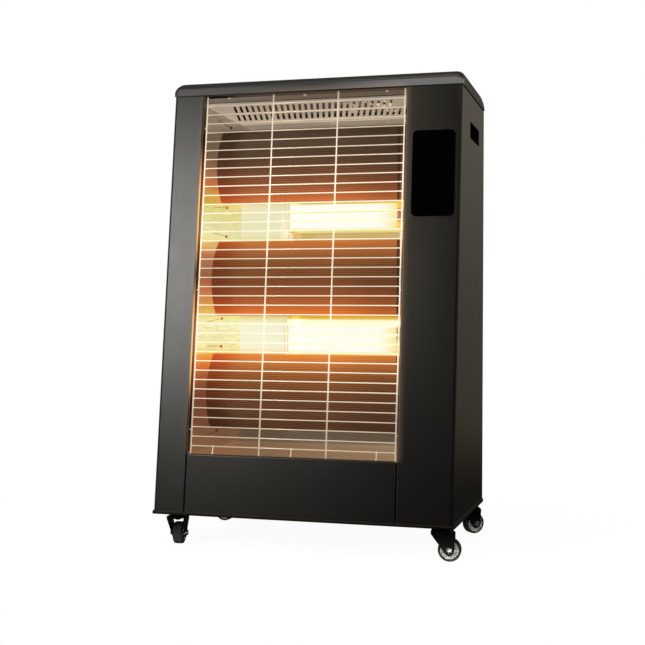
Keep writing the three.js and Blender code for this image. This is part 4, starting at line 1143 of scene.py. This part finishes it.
def build_castor_bolt(place, axle):
    """A castor's axle bolt: a socket head on one side and a six-sided nut on the other."""
    sizes = settings("castors")
    bolt, gap = sizes.bolt, sizes.gap
    leg_face = sizes.fork_gap / 2 + sizes.leg
    head_face, nut_face = leg_face + 5 * MM, leg_face + 6.5 * MM
    shank, socket, socket_depth = 3 * MM, 3 * MM, 2.5 * MM
    mouth = socket + 0.4 * MM
    mesh = bmesh.new()
    turned(mesh, [(shank, -leg_face), (shank, leg_face + 1 * MM)], axle, 24)
    turned(mesh, [(shank, leg_face + gap), (bolt, leg_face + gap), (bolt, head_face - 1 * MM),
                  (bolt - 0.3 * MM, head_face - 0.3 * MM), (bolt - 1 * MM, head_face),
                  (mouth, head_face)], axle, 36)
    rim = skin(mesh, [circle(mouth, 36, axle, head_face), circle(mouth - 0.2 * MM, 36, axle, head_face)],
               capped=False)[-1]
    bottom = circle(socket, 6, axle, head_face - socket_depth)
    skin(mesh, [circle(socket, 6, axle, head_face), bottom], capped=False)
    mesh.faces.new([mesh.verts.new(point) for point in bottom])
    fill_between(mesh, rim, [mesh.verts.new(point) for point in circle(socket, 6, axle, head_face)])
    prism(mesh, arc(0, 0, bolt, 0, 300, 5), axle, gap - nut_face + 1 * MM, -leg_face - gap, 0.4 * MM)
    turned(mesh, measured(-nut_face, (0, 0), (2.4, 0), (3, 0.6)) + [(shank, -leg_face)], axle, 24)
    piece(f"castor_{place}_bolt", mesh, "castor_axle", f"castor_{place}_swivel", [f"castor_{place}_axle"])


def mirrored(profile):
    """A closed profile from one half and its mirror image."""
    return [*profile, *[(radius, -height) for radius, height in reversed(profile)], profile[0]]


def build_castor_hub(place, axle):
    """A castor's hub: boss, web and rim with five spokes on each side."""
    sizes = settings("castors")
    half_tread = sizes.tread / 2
    rim, boss, web = half_tread - 0.5 * MM, sizes.fork_gap / 2 - sizes.gap, half_tread - 4 * MM
    out, ring, bore = sizes.hub - sizes.gap, sizes.hub - 4.8 * MM, 3.3 * MM
    boss_radius, spoke_half = 7 * MM, 1.1 * MM
    side = [(bore, boss), (6.6 * MM, boss), (boss_radius, boss - 0.4 * MM), (7.6 * MM, web),
            (ring - 0.8 * MM, web - 1.2 * MM), (ring, rim - 0.5 * MM), (ring + 0.5 * MM, rim),
            (out - 0.4 * MM, rim), (out, rim - 0.4 * MM)]
    spoke = [(boss_radius, -spoke_half), (ring, -spoke_half), (ring, spoke_half), (boss_radius, spoke_half)]
    mesh = bmesh.new()
    turned(mesh, mirrored(side), axle, 48)
    for i in range(5):
        turn = axle @ Matrix.Rotation(math.tau * i / 5, 4, "Z")
        for way in (-1, 1):
            prism(mesh, spoke, turn, *sorted((way * (web - 3 * MM), way * (web + 1.2 * MM))))
    piece(f"castor_{place}_core", mesh, "castor_hub", f"castor_{place}_wheel", [f"castor_{place}_hub"])


def build_castor_tyre(place, axle):
    """A castor's tyre with rounded shoulders and a fine centre line."""
    sizes = settings("castors")
    wheel, half_tread, shoulder = sizes.wheel, sizes.tread / 2, 4 * MM
    curve = arc(wheel - shoulder, half_tread - shoulder, shoulder, 90, 0, 6)
    side = [(sizes.hub, half_tread), *curve, (wheel, 0.6 * MM), (wheel - 0.3 * MM, 0)]
    mesh = bmesh.new()
    turned(mesh, mirrored(side), axle, 64)
    piece(f"castor_{place}_tread", mesh, "castor_tyre", f"castor_{place}_wheel", [f"castor_{place}_tyre"])


def build_castor(place, still, moving):
    """One swivel castor: plate, fork, axle bolt, hub and tyre."""
    sizes = settings("castors")
    sideways = moving @ Matrix.Rotation(math.pi / 2, 4, "X")
    axle = sideways @ Matrix.Translation((sizes.trail, sizes.wheel, 0))
    build_castor_plate(place, still)
    build_castor_yoke(place, moving, sideways)
    build_castor_bolt(place, axle)
    build_castor_hub(place, axle)
    build_castor_tyre(place, axle)


# Heights of the back panel's edge screws, as shares of its height
SCREW_SHARES = (0.02, 0.26, 0.5, 0.74, 0.98)


def build_screws():
    """The screws around the back panel."""
    low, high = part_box("back_panel")
    mesh = bmesh.new()
    face, inset, spread = high.y - 3.5 * MM, 9 * MM, 180 * MM
    (left, right), (bottom, top) = ((a + inset, b - inset) for a, b in ((low.x, high.x), (low.z, high.z)))
    spots = [(x, low.z + (high.z - low.z) * share) for x in (left, right) for share in SCREW_SHARES]
    spots += [(x, z) for x in (-spread, 0.0, spread) for z in (bottom, top)]
    for x, z in spots:
        screw(mesh, facing((x, face, z), (0, 1, 0)), settings("cabinet").screw_head, 1.6 * MM)
    piece("cabinet_screws", mesh, "castor_steel")


def build_drum_rods():
    """The thin rods that hold the drums to the chamber's walls, each with its screw at the back."""
    rods, screws = bmesh.new(), bmesh.new()
    reach, rod_radius, off_wall, sunk = settings("chamber").rod_length, 0.55 * MM, 0.7 * MM, 0.5 * MM
    for node in DRUMS:
        low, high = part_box(node)
        above = (high.y + 33 * MM, high.z + 16 * MM, 2 * MM)
        below = (high.y + 8.5 * MM, low.z - 7 * MM, -8 * MM)
        for y, z, rise in (above, below):
            for x, way in ((wall_left, 1), (wall_right, -1)):
                seat = Vector((x + way * off_wall, y, z))
                wire_along(rods, [seat + Vector((0, -reach, rise)), seat], rod_radius, 8)
                screw(screws, facing(seat - Vector((way * sunk, 0, 0)), (way, 0, 0)), 3.4 * MM, 2.4 * MM)
    piece("drum_tabs", rods, "radiator_drum")
    piece("drum_tab_screws", screws, "radiator_drum")


class HeaterStep:
    """What the heater's operators share: each has its own work to do."""

    def execute(self, context):
        self.work()
        return {"FINISHED"}


class HEATER_OT_stage(HeaterStep, bpy.types.Operator):
    """Sets up the camera, the studio's lights, the floor and the backdrop"""

    bl_idname = "heater.stage"
    bl_label = "Stage"

    def work(self):
        sizes = settings("stage")
        bpy.context.scene.view_settings.view_transform = "Standard"
        self.camera(sizes)
        for name, (power, place, target, size, spread) in LIGHTS.items():
            self.light(name, getattr(sizes, power), place, target, size, spread)
        self.world()
        self.floor(sizes)

    def camera(self, sizes):
        """The camera of the photograph."""
        turn, tilt, roll = sizes.turn, sizes.tilt, sizes.roll
        ahead = Vector((-math.sin(turn) * math.cos(tilt), math.cos(turn) * math.cos(tilt), math.sin(tilt)))
        level = Vector((math.cos(turn), math.sin(turn), 0))
        upright = level.cross(ahead)
        right = level * math.cos(roll) + upright * math.sin(roll)
        top = upright * math.cos(roll) - level * math.sin(roll)
        data = bpy.data.cameras.new("camera")
        data.lens, data.sensor_width = sizes.lens, SENSOR_WIDTH
        data.shift_x, data.shift_y = (shift / PHOTO_SIDE for shift in PHOTO_SHIFT)
        made = shown("camera", data)
        axes = Matrix((right, top, -ahead)).transposed().to_4x4()
        made.matrix_world = Matrix.Translation(sizes.camera) @ axes
        bpy.context.scene.camera = made

    def light(self, name, power, place, target, size, spread):
        """A softbox that the camera doesn't see."""
        data = bpy.data.lights.new(name, "AREA")
        data.shape = "RECTANGLE"
        data.size, data.size_y = size
        data.energy = power
        data.color = (1.0, 0.985, 0.94)
        data.spread = math.radians(spread)
        made = shown(name, data)
        made.matrix_world = facing(place, Vector(place) - Vector(target))
        made.visible_camera = False

    def world(self):
        """White behind the heater, and a dim studio for what its gloss reflects."""
        world = bpy.data.worlds.new("studio")
        bpy.context.scene.world = world
        recipe = Recipe(world)
        x, y, z = recipe.split(recipe.node("ShaderNodeTexCoord", output="Generated"))
        rays = recipe.node("ShaderNodeLightPath")
        behind = y.smooth(-0.2, 0.5)
        back = behind * (0.135 + 0.165 * z.smooth(-0.02, 0.2)) * (1.0 - 0.7 * z.smooth(0.25, 0.6))
        gloss = 0.004 + back + 0.05 * z.smooth(0.35, 1.0) + 0.12 * abs(x).smooth(0.65, 0.95)
        seen = rays.most(rays.port("Is Transmission Ray"))
        glossy = rays.port("Is Glossy Ray")
        level = glossy * gloss + (1.0 - glossy) * 0.07
        tint = recipe.mix(glossy * behind, WHITE, (1.0, 0.91, 0.73))
        shade = recipe.mix(seen, recipe.scaled(tint, level), WHITE)
        recipe.feed(recipe.tree.nodes["Background"].inputs["Color"], shade)

    def floor(self, sizes):
        """A pale floor that keeps the heater's shadow and fades to white around it."""
        half, below = sizes.floor_size / 2, -0.3 * MM
        corners = ((-half, -half), (half, -half), (half, half), (-half, half))
        mesh = bmesh.new()
        mesh.faces.new([mesh.verts.new((x, y, below)) for x, y in corners])
        material = bpy.data.materials.new("floor")
        shown("floor", meshed("floor", mesh, material))
        recipe = Recipe(material)
        recipe.tree.nodes.remove(recipe.tree.nodes["Principled BSDF"])
        x, y, _ = recipe.point()
        pool_width, pool_depth = 1.1, 0.9
        reach = ((x / pool_width) ** 2.0 + (y / pool_depth) ** 2.0) ** 0.5
        rays = recipe.node("ShaderNodeLightPath")

        def shader(kind, tint, **others):
            return recipe.node(f"ShaderNode{kind}", inputs={"Color": opaque(tint), **others})

        def blend(share, first, second):
            return recipe.node("ShaderNodeMixShader", inputs={0: share, 1: first, 2: second})

        lit, glow = shader("BsdfDiffuse", sizes.floor_colour), shader("Emission", (0.945, 0.945, 0.945))
        near = recipe.node("ShaderNodeAddShader", inputs={0: lit, 1: glow})
        seen = blend(reach.smooth(0.45, 1.0), near, shader("Emission", WHITE))
        horizon = shader("Emission", (1.0, 0.86, 0.62), Strength=0.020 + 0.11 * reach.smooth(1.0, 4.5))
        other = blend(rays.port("Is Glossy Ray"), shader("BsdfDiffuse", (0.12, 0.12, 0.12)), horizon)
        recipe.feed(recipe.tree.nodes["Material Output"].inputs["Surface"], blend(rays, other, seen))


class HEATER_OT_cabinet(HeaterStep, bpy.types.Operator):
    """Finishes the painted panels, the tray and the back, and drives their screws"""

    bl_idname = "heater.cabinet"
    bl_label = "Cabinet"

    def work(self):
        dress("base_tray", "left_side_panel", "right_side_panel", "front_lower_panel", "back_panel")
        dress("left_handle_pocket", "right_handle_pocket", "cord_bushing")
        build_screws()


class HEATER_OT_lid(HeaterStep, bpy.types.Operator):
    """Moulds the smooth lid"""

    bl_idname = "heater.lid"
    bl_label = "Lid"

    def work(self):
        build_lid()


class HEATER_OT_chamber(HeaterStep, bpy.types.Operator):
    """Finishes the polished chamber and its drums, and hangs the drums on their rods"""

    bl_idname = "heater.chamber"
    bl_label = "Radiant chamber"

    def work(self):
        dress("chamber_left_wall", "chamber_right_wall", "chamber_floor", "chamber_ceiling")
        dress("back_reflector", *DRUMS)
        build_drum_rods()


class HEATER_OT_lamps(HeaterStep, bpy.types.Operator):
    """Draws the quartz tubes and finishes their holders and rails"""

    bl_idname = "heater.lamps"
    bl_label = "Lamps"

    def work(self):
        build_lamps()
        dress(*[f"lamp_holder_{bank}_{side}" for bank in BANKS for side in ("left", "right")])
        dress("lamp_rail_left", "lamp_rail_right")


class HEATER_OT_guard(HeaterStep, bpy.types.Operator):
    """Welds the wire guard"""

    bl_idname = "heater.guard"
    bl_label = "Wire guard"

    def work(self):
        build_guard()


class HEATER_OT_controls(HeaterStep, bpy.types.Operator):
    """Grinds the touch panel's glass and finishes the electrics behind it"""

    bl_idname = "heater.controls"
    bl_label = "Controls"

    def work(self):
        build_glass()
        dress("touch_housing", "control_board", "power_board")
        dress("terminal_block", "tip_over_switch", "thermal_cutout")


class HEATER_OT_castors(HeaterStep, bpy.types.Operator):
    """Builds the four swivel castors"""

    bl_idname = "heater.castors"
    bl_label = "Castors"

    def work(self):
        for castor in castor_places():
            build_castor(*castor)


OPERATORS = [
    HEATER_OT_stage, HEATER_OT_cabinet, HEATER_OT_lid, HEATER_OT_chamber, HEATER_OT_lamps,
    HEATER_OT_guard, HEATER_OT_controls, HEATER_OT_castors,
]


class HEATER_PT_panel(bpy.types.Panel):
    """The heater's pieces and sizes in the sidebar"""

    bl_idname = "HEATER_PT_panel"
    bl_label = "Infrared heater"
    bl_space_type = "VIEW_3D"
    bl_region_type = "UI"
    bl_category = "Heater"

    def draw(self, context):
        for operator in OPERATORS:
            self.layout.operator(operator.bl_idname)
        for group, kind in SETTINGS.items():
            box = self.layout.box()
            for name in kind.__annotations__:
                box.prop(getattr(context.scene, group), name)


def register():
    for kind in [*SETTINGS.values(), *OPERATORS, HEATER_PT_panel]:
        bpy.utils.register_class(kind)
    for group, kind in SETTINGS.items():
        setattr(bpy.types.Scene, group, bpy.props.PointerProperty(type=kind))


def unregister():
    for group in SETTINGS:
        delattr(bpy.types.Scene, group)
    for kind in reversed([*SETTINGS.values(), *OPERATORS, HEATER_PT_panel]):
        bpy.utils.unregister_class(kind)


def main():
    """Builds the whole scene, piece by piece."""
    register()
    for operator in OPERATORS:
        area, name = operator.bl_idname.split(".")
        getattr(getattr(bpy.ops, area), name)()


if __name__ == "__main__":
    main()
